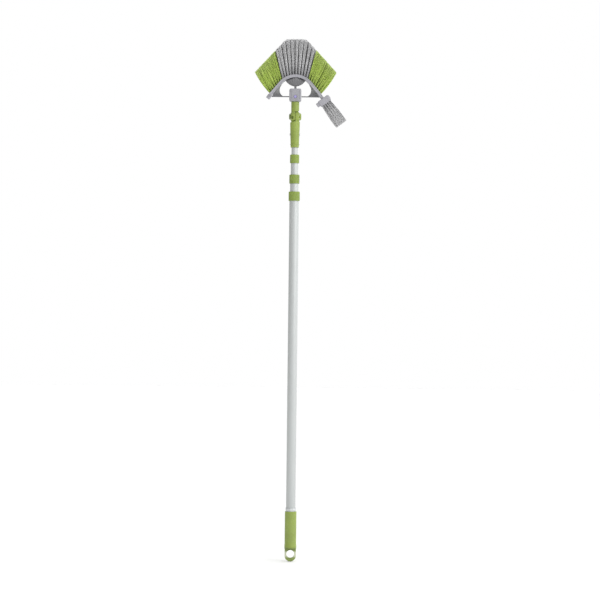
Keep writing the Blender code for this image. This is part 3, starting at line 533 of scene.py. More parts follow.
def settle(item, name, helpers=()):
    """Apply an object's modifiers: a new plain mesh object takes its place."""
    graph = bpy.context.evaluated_depsgraph_get()
    mesh = bpy.data.meshes.new_from_object(item.evaluated_get(graph), depsgraph=graph)
    mesh.name = name
    for old in (item, *helpers):
        bpy.data.objects.remove(old, do_unlink=True)
    return add_object(name, mesh)


def moulded(name, solids, cuts=(), skin=0.0005, relax=4):
    """Join and cut plain solids, then wrap the result in a fine, relaxed skin."""
    body = to_object(name, solids[0])
    helpers = []
    jobs = [(solid, "UNION") for solid in solids[1:]] + [(cut, "DIFFERENCE") for cut in cuts]
    for solid, operation in jobs:
        helper = to_object("helper", solid)
        helpers.append(helper)
        modifier = body.modifiers.new("join", "BOOLEAN")
        modifier.operation = operation
        modifier.solver = "EXACT"
        modifier.object = helper
    wrap = body.modifiers.new("skin", "REMESH")
    wrap.mode = "VOXEL"
    wrap.voxel_size = skin
    soften = body.modifiers.new("relax", "SMOOTH")
    soften.iterations = relax
    soften.factor = 0.5
    return settle(body, name, helpers)


def hand_over(item, body, material, slot, *nodes, sharp=True):
    """Shade a finished piece, give it its finish and tie it to its body in the frame."""
    mesh = item.data
    if material is not None:
        mesh.materials.clear()
        mesh.materials.append(material)
    mesh.shade_smooth()
    if sharp:
        mesh.set_sharp_from_angle(angle=SHADE_ANGLE)
    if nodes:
        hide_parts(*nodes)
    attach(item, body)
    mesh.calc_loop_triangles()
    print(f"{item.name}: {len(mesh.loop_triangles)} triangles")


def span(node):
    """Foot, top and widest radius of a CAD node that stands on the pole's axis."""
    low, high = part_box(node)
    return low.z, high.z, (high.x - low.x) / 2


print("tools ready")

# %% [markdown]
# ## Ribs by Geometry Nodes
# The twist locks and the grip have fine ribs for the fingers. Each rib is the same short rod,
# so one tree sets them in a circle round any turned body: a ring of points, a rod on each one
# and a join with the body. Its inputs are the sizes, so each lock can have its own number.


# %% The rib tree
RIB_SIDES = 10


def new_tree(name, inputs):
    """A geometry tree with a Geometry input, the named inputs and a Geometry output."""
    tree = bpy.data.node_groups.new(name, "GeometryNodeTree")
    for label, kind in {"Geometry": "Geometry", **inputs, "Material": "Material"}.items():
        tree.interface.new_socket(label, in_out="INPUT", socket_type=f"NodeSocket{kind}")
    tree.interface.new_socket("Geometry", in_out="OUTPUT", socket_type="NodeSocketGeometry")
    return tree, put(tree, "NodeGroupInput").outputs


def end_tree(tree, geometry, given):
    """Make a tree's instances real, paint them and pass them on."""
    real = add(tree, "GeometryNodeRealizeInstances", {"Geometry": geometry})
    values = {"Geometry": real, "Material": given["Material"]}
    put(tree, "NodeGroupOutput", {"Geometry": add(tree, "GeometryNodeSetMaterial", values)})
    return tree


def build_rib_tree():
    sizes = dict.fromkeys(("Ring Radius", "Rib Radius", "Rib Length", "Centre Height"), "Float")
    tree, given = new_tree("ribs_round_a_body", {"Ribs": "Int", **sizes})
    values = {"Vertices": given["Ribs"], "Radius": given["Ring Radius"]}
    ring = add(tree, "GeometryNodeMeshCircle", values)
    values = {"Vertices": RIB_SIDES, "Radius": given["Rib Radius"], "Depth": given["Rib Length"]}
    rib = add(tree, "GeometryNodeMeshCylinder", values)
    ribs = add(tree, "GeometryNodeInstanceOnPoints", {"Points": ring, "Instance": rib})
    height = add(tree, "ShaderNodeCombineXYZ", {"Z": given["Centre Height"]})
    lifted = add(tree, "GeometryNodeTransform", {"Geometry": ribs, "Translation": height})
    joined = put(tree, "GeometryNodeJoinGeometry")
    for part in (given["Geometry"], lifted):
        tree.links.new(part, joined.inputs[0])
    return end_tree(tree, joined.outputs[0], given)


def run_tree(item, name, tree, values):
    """Put a tree on an object with these inputs and turn the result into a plain mesh."""
    modifier = item.modifiers.new(tree.name, "NODES")
    modifier.node_group = tree
    for socket in tree.interface.items_tree:
        if socket.in_out == "INPUT" and socket.name in values:
            modifier[socket.identifier] = values[socket.name]
    return settle(item, name)


RIB_TREE = build_rib_tree()


def ribbed(name, outline, radius, ribs, rib_radius, low, high, material):
    """A turned body with ribs round it between two heights."""
    values = {
        "Ribs": ribs,
        "Ring Radius": radius - rib_radius,
        "Rib Radius": rib_radius,
        "Rib Length": high - low,
        "Centre Height": (high + low) / 2,
        "Material": material,
    }
    return run_tree(to_object("turned_body", lathe(outline)), name, RIB_TREE, values)


print("rib tree inputs:", [s.name for s in RIB_TREE.interface.items_tree if s.in_out == "INPUT"])

# %% [markdown]
# ## The four tubes
# The real tubes are thin aluminium, drawn through a ring and coated in a pale satin silver.
# Each is a plain turned piece with its lips rounded over, and the finish does the rest: the
# drawing lines follow the length, so they stay straight when the pole is pulled out.

# %% Tubes
TUBE_WALL = 1.0 * MM
TUBE_LIP = 0.45 * MM
FIT = 0.3 * MM
TUBES = {"outer_tube": "pole", "tube_2": "section_2", "tube_3": "section_3", "tube_4": "section_4"}
tube_radius = {}
for node, body in TUBES.items():
    foot, top, radius = span(node)
    tube_radius[node] = radius
    bore = radius - TUBE_WALL
    outline = rounded([(bore, foot), (radius, foot), (radius, top), (bore, top)], TUBE_LIP)
    hand_over(to_object(f"drawn_{node}", lathe(outline)), body, SATIN, "silver_tube", node)

# %% [markdown]
# ## Grip, trim ring and hanging loop
# The grip is a soft green sleeve pushed over the widest tube, flared at the foot so that a
# hand doesn't slide off. Shallow flutes run along it. The loop below is one moulding with the
# plug that closes the tube: a flat eye with fully rounded edges. Modelling it as joined solids
# under a skin gives the swelling where the eye meets its shoulder.

# %% Grip
GRIP_RIBS = 30
GRIP_RIB_RADIUS = 0.85 * MM
GRIP_STEP = 0.8 * MM
FLARE = 12 * MM
BAND = 5 * MM
grip_foot, grip_top, foot_radius = span("hand_grip")
GRIP_RADIUS = foot_radius - GRIP_STEP
inner = tube_radius["outer_tube"] + FIT
flute = GRIP_RADIUS - 0.35 * MM
low_end, high_end = grip_foot + FLARE + BAND, grip_top - BAND
outline = [
    *((inner, grip_foot), (foot_radius, grip_foot), (foot_radius, grip_foot + FLARE * 0.35)),
    *((GRIP_RADIUS, grip_foot + FLARE), (GRIP_RADIUS, low_end), (flute, low_end + GRIP_STEP)),
    *((flute, high_end - GRIP_STEP), (GRIP_RADIUS, high_end)),
    *((GRIP_RADIUS, grip_top), (inner, grip_top)),
]
outline = rounded(outline, 0.9 * MM)
sizes = (GRIP_RADIUS, GRIP_RIBS, GRIP_RIB_RADIUS, low_end, high_end)
grip = ribbed("ribbed_grip", outline, *sizes, GREEN)
hand_over(grip, "pole", GREEN, "green_plastic", "hand_grip")

# %% Trim ring
TRIM_EDGE = 1.6 * MM
TRIM_GROOVE = ((0, -0.8), (1, -0.5), (1, 0.5), (0, 0.8))
foot, top, radius = span("grip_trim_ring")
outline = [(inner, foot), (radius, foot)]
for height in (foot + TRIM_EDGE, top - TRIM_EDGE):
    outline += [(radius - depth * MM, height + rise * MM) for depth, rise in TRIM_GROOVE]
outline += [(radius, top), (inner, top)]
ring = to_object("trim_ring", lathe(rounded(outline, 0.3 * MM)))
hand_over(ring, "pole", TRIM, "silver_tube", "grip_trim_ring")

# %% Hanging loop
HOLE_RADIUS = 11.5 * MM
EYE_RADIUS = 16.8 * MM
HOLE_RAISE = 5 * MM
EYE_HALF = 6 * MM
EYE_RIM = 2 * MM
EYE_STEP = 0.8 * MM
SHOULDER_Z = 15.5 * MM
FLANGE = 3 * MM
CUT = 0.02
plug_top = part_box("hang_loop_cap")[1].z
plug_radius = tube_radius["outer_tube"] - TUBE_WALL - FIT
flange_top = SHOULDER_Z + FLANGE
eye = arc((0, -HOLE_RAISE), EYE_RADIUS, pi, 2 * pi, 48)
eye += [(EYE_RADIUS, SHOULDER_Z + FLANGE / 2), (-EYE_RADIUS, SHOULDER_Z + FLANGE / 2)]
shoulder = [(0, SHOULDER_Z), (foot_radius, SHOULDER_Z), (foot_radius, flange_top)]
shoulder += [(plug_radius, flange_top), (plug_radius, plug_top), (0, plug_top)]
shoulder = lathe(rounded(shoulder, EYE_STEP, closed=False))
hole_edge, rim_edge = HOLE_RADIUS - 0.01 * MM, HOLE_RADIUS + EYE_RIM
rim = [(hole_edge, -EYE_HALF), (rim_edge, -EYE_HALF), (rim_edge, EYE_HALF), (hole_edge, EYE_HALF)]
rim = lathe(rounded(rim, 0.9 * MM), axis="Y")
disc_of_eye = plate(eye, -EYE_HALF + EYE_STEP, EYE_HALF - EYE_STEP)
hole = rod(HOLE_RADIUS, -CUT, CUT, axis="Y")
loop = moulded("hanging_loop", [disc_of_eye, shoulder, rim], [hole], skin=0.0006, relax=5)
hand_over(loop, "pole", LOOP_GREEN, "dark_green_plastic", "hang_loop_cap", sharp=False)

# %% [markdown]
# ## Twist locks
# Each lock is a green ring that screws down over a split collet and squeezes it on the next
# tube. Only the ring shows. It gets a plain band at each end and fingers of ribs between
# them, and a lead-in cone at the mouth where the thinner tube comes out.

# %% Twist lock rings
RIBS_ON_LOCK = (38, 35, 32)
RIB_RADIUS = 0.55 * MM
LOCK_BAND = 4.2 * MM
LOCK_FOOT_BAND = LOCK_BAND * 0.6
LOCK_WALL = 1.1 * MM
LOCK_STEP = 0.4 * MM
LID = 2.2 * MM
LEAD_IN = 4 * MM
for number, ribs in enumerate(RIBS_ON_LOCK, 1):
    node = f"lock_collar_{number}"
    foot, top, radius = span(node)
    bore = radius - LOCK_WALL
    mouth = tube_radius[f"tube_{number + 1}"] + FIT
    core = radius - 0.35 * MM
    low_end, high_end = foot + LOCK_FOOT_BAND, top - LOCK_BAND
    outline = [
        *((bore, foot), (radius, foot), (radius, low_end), (core, low_end + LOCK_STEP)),
        *((core, high_end - LOCK_STEP), (radius, high_end), (radius, top - 1.2 * MM)),
        *((radius - 1.0 * MM, top), (mouth, top), (mouth, top - LID), (bore, top - LID - LEAD_IN)),
    ]
    outline = rounded(outline, 0.4 * MM)
    sizes = (radius, ribs, RIB_RADIUS, low_end - FIT, high_end + FIT)
    ring = ribbed(f"twist_lock_{number}", outline, *sizes, COLLAR_GREEN)
    hand_over(ring, f"lock_{number}", COLLAR_GREEN, "green_plastic", node)

# %% [markdown]
# ## The knuckle
# Two green mouldings meet in the knuckle: the sleeve riveted on the thinnest tube carries a
# disc on the right, and the arm of the head a disc on the left, with a fibre washer between
# them. A bolt passes through, with a knob that clamps the tilt. Both halves are joined solids
# under one skin, so the discs grow out of their stems with a soft fillet. Each disc has a lip
# that covers the washer, and each stem ends in a round saddle that follows the other half's
# disc, so no light shows through the joint at any tilt.

# %% Knuckle sizes
KNUCKLE_Z = joints["knuckle_tilt"]["pos_m"][2]
AXLE = (0, 0, KNUCKLE_Z)
RUN = 0.6 * MM
DISC_RADIUS = 16.0 * MM
DISC_INSIDE = 0.9 * MM
DISC_OUTSIDE = 13.0 * MM
LIP = 0.4 * MM
SADDLE = 2.1 * MM
SADDLE_GAP = 1.5 * MM
BOLT_RADIUS = 4.0 * MM
SLEEVE_FOOT_RADIUS = 12.25 * MM
SLEEVE_TOP_RADIUS = 14.25 * MM
THROUGH = 0.03
STEM_ROUNDING = 1.0 * MM
KNUCKLE_SKIN = 0.00055
washer_low, washer_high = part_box("friction_washer")
washer_room = (washer_high.z - washer_low.z) / 2 + FIT


def d_rod(radius, side, flat, low_z, high_z):
    """A rod of D section beside a flat, which joins a disc to its stem."""
    reach = acos(flat / radius)
    section = [(side * x, y) for x, y in arc((0, 0), radius, -reach, reach, 40)]
    return loft([[(x, y, z) for x, y in section] for z in (low_z, high_z)])


def disc(side):
    """One cheek of the knuckle: a disc on the axle that rounds off towards its outer face."""
    inner, lip, outer = side * DISC_INSIDE, side * LIP, side * DISC_OUTSIDE
    outline = [(0, inner), (washer_room, inner), (washer_room, lip), (DISC_RADIUS, lip)]
    outline += [(DISC_RADIUS, outer * 0.62), (DISC_RADIUS - 3.2 * MM, outer), (0, outer)]
    return lathe(rounded(outline, 2.6 * MM, closed=False, steps=5), axis="X", centre=AXLE)


def saddle(side):
    """The round clearance which a stem leaves for the other half's disc."""
    return rod(DISC_RADIUS + SADDLE_GAP, -side * LIP, side * THROUGH, ROUND_STEPS, "X", AXLE)


axle_hole = (BOLT_RADIUS + FIT, -THROUGH, THROUGH, 48, "X", AXLE)
print("knuckle axis at", KNUCKLE_Z)

# %% Lower half
GROOVE = 0.5 * MM
GROOVE_HALF = 0.9 * MM
GROOVE_RISES = (5.5 * MM, 8.5 * MM, 11.5 * MM)
sleeve_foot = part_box("knuckle_sleeve")[0].z
sleeve_top = KNUCKLE_Z - DISC_RADIUS - RUN
tube_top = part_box("tube_4")[1].z + FIT
bore = tube_radius["tube_4"] + FIT
rivet_low, rivet_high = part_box("sleeve_rivet")
rivet_centre = (0, 0, (rivet_low.z + rivet_high.z) / 2)
floor_of_groove, reach = SLEEVE_FOOT_RADIUS - GROOVE, SLEEVE_FOOT_RADIUS + 2 * MM
grooves = []
for z in (sleeve_foot + rise for rise in GROOVE_RISES):
    grooves.append(lathe([(floor_of_groove, z), (reach, z - GROOVE_HALF), (reach, z + GROOVE_HALF)]))
stem = [(0, tube_top), (bore, tube_top), (bore, sleeve_foot), (SLEEVE_FOOT_RADIUS, sleeve_foot)]
stem += [(SLEEVE_TOP_RADIUS, sleeve_top - 8 * MM), (SLEEVE_TOP_RADIUS, sleeve_top + SADDLE)]
stem += [(0, sleeve_top + SADDLE)]
web_top = KNUCKLE_Z - DISC_RADIUS / 2
web = d_rod(DISC_OUTSIDE - RUN, 1, DISC_INSIDE, sleeve_top - 4 * MM, web_top)
rivet_hole = rod(1.9 * MM, -THROUGH, THROUGH, 32, "X", rivet_centre)
solids = [lathe(rounded(stem, STEM_ROUNDING, closed=False)), disc(1), web]
cuts = [saddle(-1), rod(*axle_hole), rivet_hole, *grooves]
lower = moulded("knuckle_lower_half", solids, cuts, skin=KNUCKLE_SKIN)
hand_over(lower, "section_4", GREEN, "green_plastic", "knuckle_sleeve", sharp=False)

# %% Upper half
TIP_RADIUS = 10.6 * MM
ARM_RADIUS = 11.75 * MM
ARM_TOP = 44 * MM
TIP_LENGTH = 32 * MM
TIP_FLAT = 10.0 * MM
NICK = ((-11 * MM, -17 * MM, -7.5 * MM), (-5 * MM, -7.5 * MM, 0.5 * MM))
arm_foot = KNUCKLE_Z + DISC_RADIUS + RUN
arm_top = KNUCKLE_Z + ARM_TOP
tip_top = arm_top + TIP_LENGTH
stem = [(0, arm_foot - SADDLE), (ARM_RADIUS, arm_foot - SADDLE), (ARM_RADIUS, arm_top)]
stem += [(TIP_RADIUS, arm_top), (TIP_RADIUS, tip_top), (0, tip_top)]
web = d_rod(ARM_RADIUS - RUN, -1, DISC_INSIDE, KNUCKLE_Z + DISC_RADIUS / 2, arm_foot + 4 * MM)
flat = box((-CUT, -THROUGH, arm_top + FIT), (CUT, -TIP_FLAT, tip_top + CUT / 2))
nick = box(*((x, y, KNUCKLE_Z + z) for x, y, z in NICK), 1.4 * MM)
solids = [lathe(rounded(stem, STEM_ROUNDING, closed=False)), disc(-1), web]
cuts = [saddle(1), rod(*axle_hole), flat, nick]
upper = moulded("knuckle_upper_half", solids, cuts, skin=KNUCKLE_SKIN)
hand_over(upper, "knuckle", GREEN, "green_plastic", "knuckle_arm", sharp=False)

# %% Bolt with a driver recess
BOLT_HEAD_RADIUS = 9.5 * MM
BOLT_HEAD = 4.5 * MM
RECESS_HALF_LENGTH = 3.6 * MM
RECESS_HALF_WIDTH = 0.8 * MM
RECESS_DEPTH = 2.2 * MM
seat = DISC_OUTSIDE + FIT
bolt_end = DISC_OUTSIDE + 2.5 * MM
crest = -seat - BOLT_HEAD
head = [
    *((0, crest), (BOLT_HEAD_RADIUS * 0.62, crest)),
    (BOLT_HEAD_RADIUS * 0.9, -seat - BOLT_HEAD * 0.62),
    (BOLT_HEAD_RADIUS, -seat - BOLT_HEAD * 0.15),
    *((BOLT_HEAD_RADIUS, -seat), (BOLT_RADIUS, -seat), (BOLT_RADIUS, bolt_end), (0, bolt_end)),
]
recesses = []
for turn in (0, pi / 2):
    place = Matrix.Translation(AXLE) @ Matrix.Rotation(turn, 4, "X")
    low = (crest - 1 * MM, -RECESS_HALF_LENGTH, -RECESS_HALF_WIDTH)
    high = (crest + RECESS_DEPTH, RECESS_HALF_LENGTH, RECESS_HALF_WIDTH)
    recesses.append(box(low, high, place=place))
head = lathe(rounded(head, 1.4 * MM, closed=False), 64, "X", AXLE)
bolt = moulded("pivot_bolt_with_recess", [head], recesses, skin=0.0004, relax=2)
hand_over(bolt, "section_4", OLIVE, "dark_green_plastic", "pivot_bolt", sharp=False)

# %% Clamp knob
KNOB_RADIUS = 10.8 * MM
KNOB_THICKNESS = 5.0 * MM
KNOB_DISH = 0.7 * MM
LOBES = 8
LOBE_DEPTH = 0.8 * MM
STEPS_IN_LOBE = 18
knob_face = seat + KNOB_THICKNESS
dish = knob_face - KNOB_DISH
outline = [(0, bolt_end + FIT), (BOLT_RADIUS + FIT, bolt_end + FIT), (BOLT_RADIUS + FIT, seat)]
outline += [(KNOB_RADIUS, seat), (KNOB_RADIUS, seat + KNOB_THICKNESS * 0.35)]
outline += [(KNOB_RADIUS * 0.72, knob_face), (KNOB_RADIUS * 0.5, knob_face)]
outline += [(KNOB_RADIUS * 0.42, dish), (0, dish)]
knob = lathe(rounded(outline, 1.2 * MM, closed=False), LOBES * STEPS_IN_LOBE)
for vertex in knob.verts:
    radius = vertex.co.xy.length
    if radius > BOLT_RADIUS + 1.5 * MM:
        turn = atan2(vertex.co.y, vertex.co.x)
        share = (radius - BOLT_RADIUS) / (KNOB_RADIUS - BOLT_RADIUS)
        scale = 1 - LOBE_DEPTH / KNOB_RADIUS * share * (1 - cos(LOBES * turn)) / 2
        vertex.co.xy *= scale
bmesh.ops.rotate(knob, verts=knob.verts, matrix=Matrix.Rotation(pi / 2, 3, "Y"))
bmesh.ops.translate(knob, verts=knob.verts, vec=AXLE)
hand_over(to_object("lobed_clamp_knob", knob), "clamp", GREEN, "green_plastic", "clamp_knob")

# %% Rivet
RIVET_HEAD = 1.6 * MM
HEAD_RADIUS = 4.0 * MM
SHANK = 1.6 * MM
reach = rivet_high.x
dome = [(0, -reach), (HEAD_RADIUS * 0.55, -reach + 0.12 * MM), (HEAD_RADIUS * 0.9, -reach + 0.6 * MM)]
dome += [(HEAD_RADIUS, -reach + RIVET_HEAD), (SHANK, -reach + RIVET_HEAD)]
outline = dome + [(radius, -height) for radius, height in reversed(dome)]
rivet = to_object("domed_rivet", lathe(outline, 32, "X", rivet_centre))
hand_over(rivet, "section_4", STEEL, "steel", "sleeve_rivet")

# %% [markdown]
# ## Socket and button
# The head pushes on the tip of the arm with a square socket, and a small button on its front
# lets it go. The socket is a soft-cornered box with a round bore, two pressed lines down its
# front and back and a dish round the button that guides the thumb.

# %% Socket
BUTTON_RADIUS = 4.0 * MM
FLANGE_RADIUS = 5.2 * MM
DISH = 3.5 * MM
LINE_X = 11.8 * MM
LINE_HALF = 0.9 * MM
LINE_DEPTH = 1.2 * MM
LINE_INSET = 5.5 * MM
PAST = 0.01
socket_low, socket_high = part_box("head_socket")
button_low, button_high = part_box("release_button")
button_centre = (0, 0, (button_low.z + button_high.z) / 2)
front = socket_low.y
shoulder_y = front + 2.2 * MM
pocket_y = -TIP_FLAT + 2 * MM
room, flange_room = BUTTON_RADIUS + FIT, FLANGE_RADIUS + FIT
bore = rod(TIP_RADIUS + FIT, socket_low.z - PAST, tip_top + FIT)
button_bore = [(0, front - PAST), (BUTTON_RADIUS + DISH, front - 0.3 * MM), (room, front + 0.5 * MM)]
button_bore += [(room, shoulder_y), (flange_room, shoulder_y), (flange_room, pocket_y), (0, pocket_y)]
lines = []
for x in (-LINE_X, LINE_X):
    for near, far in ((front - PAST, front + LINE_DEPTH), (-front - LINE_DEPTH, -front + PAST)):
        low = (x - LINE_HALF, near, socket_low.z + LINE_INSET)
        lines.append(box(low, (x + LINE_HALF, far, socket_high.z - LINE_INSET)))
solids = [box(socket_low, socket_high, 5 * MM, 8)]
cuts = [bore, lathe(button_bore, 64, "Y", button_centre), *lines]
socket = moulded("soft_cornered_socket", solids, cuts, skin=0.0006, relax=3)
hand_over(socket, "head", GREY, "grey_plastic", "head_socket", sharp=False)

# %% Button
face = button_low.y
flange_front = shoulder_y + FIT
outline = [(0, face + 0.35 * MM), (BUTTON_RADIUS * 0.6, face + 0.15 * MM), (BUTTON_RADIUS * 0.85, face)]
outline += [(BUTTON_RADIUS, face + 0.5 * MM), (BUTTON_RADIUS, flange_front)]
outline += [(FLANGE_RADIUS, flange_front), (FLANGE_RADIUS, button_high.y), (0, button_high.y)]
button = lathe(rounded(outline, 0.3 * MM, closed=False), 64, "Y", button_centre)
button = to_object("thumb_button", button)
hand_over(button, "button", BLUISH, "bluish_plastic", "release_button")

# %% [markdown]
# ## The arched block
# The bristles stand on an arched band with straight legs. The band is swept along its centre
# line with one section: rounded edges and a shallow channel in the front and back. A stub
# ends the left leg, and the right leg carries the arm and spigot of the small brush.

# %% Arch
BAND_THICKNESS = 8.6 * MM
BLOCK_DEPTH = 36 * MM
ARCH_RADIUS = 58 * MM
ARCH_HALF_ANGLE = radians(50)
LEG_LENGTH = 47 * MM
ARCH_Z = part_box("head_block")[1].z - ARCH_RADIUS - BAND_THICKNESS / 2
BAND_OUTER = ARCH_RADIUS + BAND_THICKNESS / 2
LEG_DIRECTION = Vector((cos(ARCH_HALF_ANGLE), 0, -sin(ARCH_HALF_ANGLE)))
LEG_NORMAL = Vector((sin(ARCH_HALF_ANGLE), 0, cos(ARCH_HALF_ANGLE)))
LEG_START = Vector((ARCH_RADIUS * sin(ARCH_HALF_ANGLE), 0, ARCH_Z + ARCH_RADIUS * cos(ARCH_HALF_ANGLE)))
LEG_END = LEG_START + LEG_LENGTH * LEG_DIRECTION
OUTWARD = pi / 2 + radians(53)
right_end = Matrix.Translation(LEG_END) @ Matrix.Rotation(OUTWARD, 4, "Y")
left_end = Matrix.Translation((-LEG_END.x, 0, LEG_END.z)) @ Matrix.Rotation(-OUTWARD, 4, "Y")


def band_path():
    """Points and outward normals along the band, from the left leg's end to the right's."""
    half = []
    steps = 40
    for step in range(steps):
        angle = ARCH_HALF_ANGLE * step / steps
        normal = Vector((sin(angle), 0, cos(angle)))
        half.append((Vector((0, 0, ARCH_Z)) + ARCH_RADIUS * normal, normal))
    half += [(LEG_START, LEG_NORMAL), (LEG_START.lerp(LEG_END, 0.5), LEG_NORMAL), (LEG_END, LEG_NORMAL)]
    mirror = [(Vector((-p.x, 0, p.z)), Vector((-n.x, 0, n.z))) for p, n in half[1:]]
    return list(reversed(mirror)) + half


CHANNEL = 0.9 * MM
CHANNEL_SLOPE = 0.6 * MM
ROOT = 1.5 * MM
ARM_LENGTH = 9 * MM
ARM_HALF_WIDTH = 5 * MM
SPIGOT_END = ARM_LENGTH + 14.5 * MM
SPIGOT_HALF_WIDTH = 4 * MM
SPIGOT_HALF_DEPTH = 3.5 * MM
STUB_LENGTH = 12 * MM
STUB_HALF = 6 * MM
thick = BAND_THICKNESS / 2
deep = BLOCK_DEPTH / 2
edge = thick - 1.9 * MM
side = [(-thick, deep), (-edge, deep), (-edge + CHANNEL_SLOPE, deep - CHANNEL)]
side += [(-n, y) for n, y in reversed(side)]
section = rounded(side + [(n, -y) for n, y in reversed(side)], 0.7 * MM)
rings = [[point + n * normal + Vector((0, y, 0)) for n, y in section] for point, normal in band_path()]
arm = beam(ARM_HALF_WIDTH, 4.5 * MM, -ROOT, ARM_LENGTH, 1.0 * MM, 3, right_end)
spigot = beam(SPIGOT_HALF_WIDTH, SPIGOT_HALF_DEPTH, 0, SPIGOT_END, 0.6 * MM, 2, right_end)
stub = beam(STUB_HALF, STUB_HALF, -ROOT, STUB_LENGTH, 1.6 * MM, 3, left_end)
block = moulded("arched_block", [loft(rings), arm, spigot, stub], skin=0.0007, relax=3)
hand_over(block, "head", GREY, "grey_plastic", "head_block", sharp=False)

# %% [markdown]
# ## Keel and braces
# Under the crown a hull-shaped boss joins the arch to the socket, fluted where the moulding is cored out; its
# darker grey is painted shade. Two thin braces tie the socket to the feet of the legs. Each is a plate with a
# round window edge and a raised rim along that edge, as a plate that thin needs, and darkens towards its bar
# with painted shade.

# %% Keel
NECK_WIDTH = 3.2 * MM
NECK_DEPTH = 7.5 * MM
NECK_HEIGHT = 7 * MM
KEEL_WIDTH = 29 * MM
KEEL_DROP = 16.5 * MM
KEEL_DEPTH = 16.5 * MM
FLUTE_PITCH = 7.2 * MM
FLUTE_SHARE = 0.06
KEEL_STEPS = 144
keel_low, keel_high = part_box("keel_boss")
keel_foot = keel_low.z + NECK_HEIGHT
keel_widest = keel_foot + KEEL_DROP
keel_curve = (KEEL_WIDTH**2 + KEEL_DROP**2) / (2 * KEEL_DROP)
inside = BAND_OUTER - BAND_THICKNESS - FIT


def keel_ring(z):
    """The keel's outline at one height: an oval with flutes in its front and back."""
    rise = max(0.0, z - keel_foot)
    if z <= keel_widest:
        width = sqrt(max(0.0, keel_curve**2 - (keel_curve - rise) ** 2))
    else:
        width = sqrt(inside**2 - (z - ARCH_Z) ** 2)
    width = max(width, NECK_WIDTH)
    share = min(1.0, rise / KEEL_DROP)
    depth = NECK_DEPTH + (KEEL_DEPTH - NECK_DEPTH) * share
    ring = []
    for step in range(KEEL_STEPS):
        turn = 2 * pi * step / KEEL_STEPS
        x = width * cos(turn)
        flute = FLUTE_SHARE * share * (1 - cos(2 * pi * x / FLUTE_PITCH)) / 2
        ring.append((x, depth * sin(turn) * (1 - flute), z))
    return ring


levels = [keel_low.z, keel_low.z + 2 * MM, keel_foot]
levels += [keel_foot + KEEL_DROP * (step / 20) ** 1.6 for step in range(1, 21)]
levels += [keel_widest + (keel_high.z - keel_widest) * (1 - (1 - step / 18) ** 1.5) for step in range(1, 19)]
keel = to_object("fluted_keel", loft([keel_ring(z) for z in levels]))
hand_over(keel, "head", KEEL_PAINTED_SHADE_GREY, "dark_grey_plastic", "keel_boss")

# %% Braces
WINDOW_RADIUS = 21 * MM
WINDOW_RIM = 2.09 * MM
WINDOW_RISE = 20.5 * MM
BAR_HEIGHT = 3 * MM
BRACE_HALF = 1.5 * MM
RIM_HALF = 2.6 * MM
RIM_WIDTH = 1.3 * MM
NOTCH_HALF = 3 * MM
bar_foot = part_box("left_brace")[0].z
bar_top = bar_foot + BAR_HEIGHT
window_z = bar_foot + WINDOW_RISE
socket_side = socket_high.x + FIT
leg_line = LEG_START - (BAND_THICKNESS / 2 + FIT) * LEG_NORMAL
from_leg = WINDOW_RADIUS + WINDOW_RIM - (leg_line.z - window_z) * LEG_NORMAL.z
window = (leg_line.x - from_leg / LEG_NORMAL.x, window_z)
corner = leg_line + (leg_line.z - bar_foot) / -LEG_DIRECTION.z * LEG_DIRECTION
lowest = -asin((window[1] - bar_top) / WINDOW_RADIUS)
edge = arc(window, WINDOW_RADIUS, lowest, radians(40), 36)
wide = arc(window, WINDOW_RADIUS + RIM_WIDTH, radians(38), lowest, 36)
outline = [(socket_side, bar_foot), (corner.x, corner.z), (leg_line.x, leg_line.z)]
outline += [*reversed(edge), (socket_side, bar_top)]
for name, side, end, end_half in (("left", -1, left_end, STUB_HALF), ("right", 1, right_end, ARM_HALF_WIDTH)):
    shape = plate([(side * x, z) for x, z in outline], -BRACE_HALF, BRACE_HALF)
    rim = plate([(side * x, z) for x, z in edge[:-1] + wide], -RIM_HALF, RIM_HALF)
    notch = beam(end_half + FIT, NOTCH_HALF, -BAND_THICKNESS, STUB_LENGTH, place=end)
    brace = moulded(f"rimmed_{name}_brace", [shape, rim], [notch], skin=0.0004, relax=2)
    hand_over(brace, "head", BRACE_GREY, "dark_grey_plastic", f"{name}_brace", sharp=False)

# %% [markdown]
# ## Holder of the small brush
# The small brush slides on the spigot. Its holder is a soft-edged block with an ear on each
# side to pull it by, and a pocket for the spigot. It is modelled flat along its own axis and
# then laid in place with the same turn as the leg's end.

# %% Holder
HOLDER_LENGTH = 18.5 * MM
HOLDER_HALF_WIDTH = 18 * MM
HOLDER_HALF_DEPTH = 8 * MM
WAIST = 0.6 * MM
HOLDER_LIP = 3.2 * MM
EAR_LENGTH = 12.5 * MM
holder_foot = ARM_LENGTH + FIT
holder_top = holder_foot + HOLDER_LENGTH
ear_foot = holder_foot + (HOLDER_LENGTH - EAR_LENGTH) / 3
core_half = (HOLDER_HALF_WIDTH - WAIST, HOLDER_HALF_DEPTH - WAIST)
core = beam(*core_half, holder_foot, holder_top, 1.6 * MM, 4, right_end)
lip_half = (HOLDER_HALF_WIDTH, HOLDER_HALF_DEPTH)
lip = beam(*lip_half, holder_top - HOLDER_LIP, holder_top, 1.2 * MM, 3, right_end)
ears_low, ears_high = (-20 * MM, -5 * MM, ear_foot), (26 * MM, 5 * MM, ear_foot + EAR_LENGTH)
ears = box(ears_low, ears_high, 1.5 * MM, 3, right_end)
pocket_half = (SPIGOT_HALF_WIDTH + FIT, SPIGOT_HALF_DEPTH + FIT)
pocket = beam(*pocket_half, 0, SPIGOT_END + FIT, place=right_end)
holder = moulded("eared_brush_holder", [core, lip, ears], [pocket], skin=0.0005, relax=3)
hand_over(holder, "detail", GREY, "grey_plastic", "detail_holder", sharp=False)

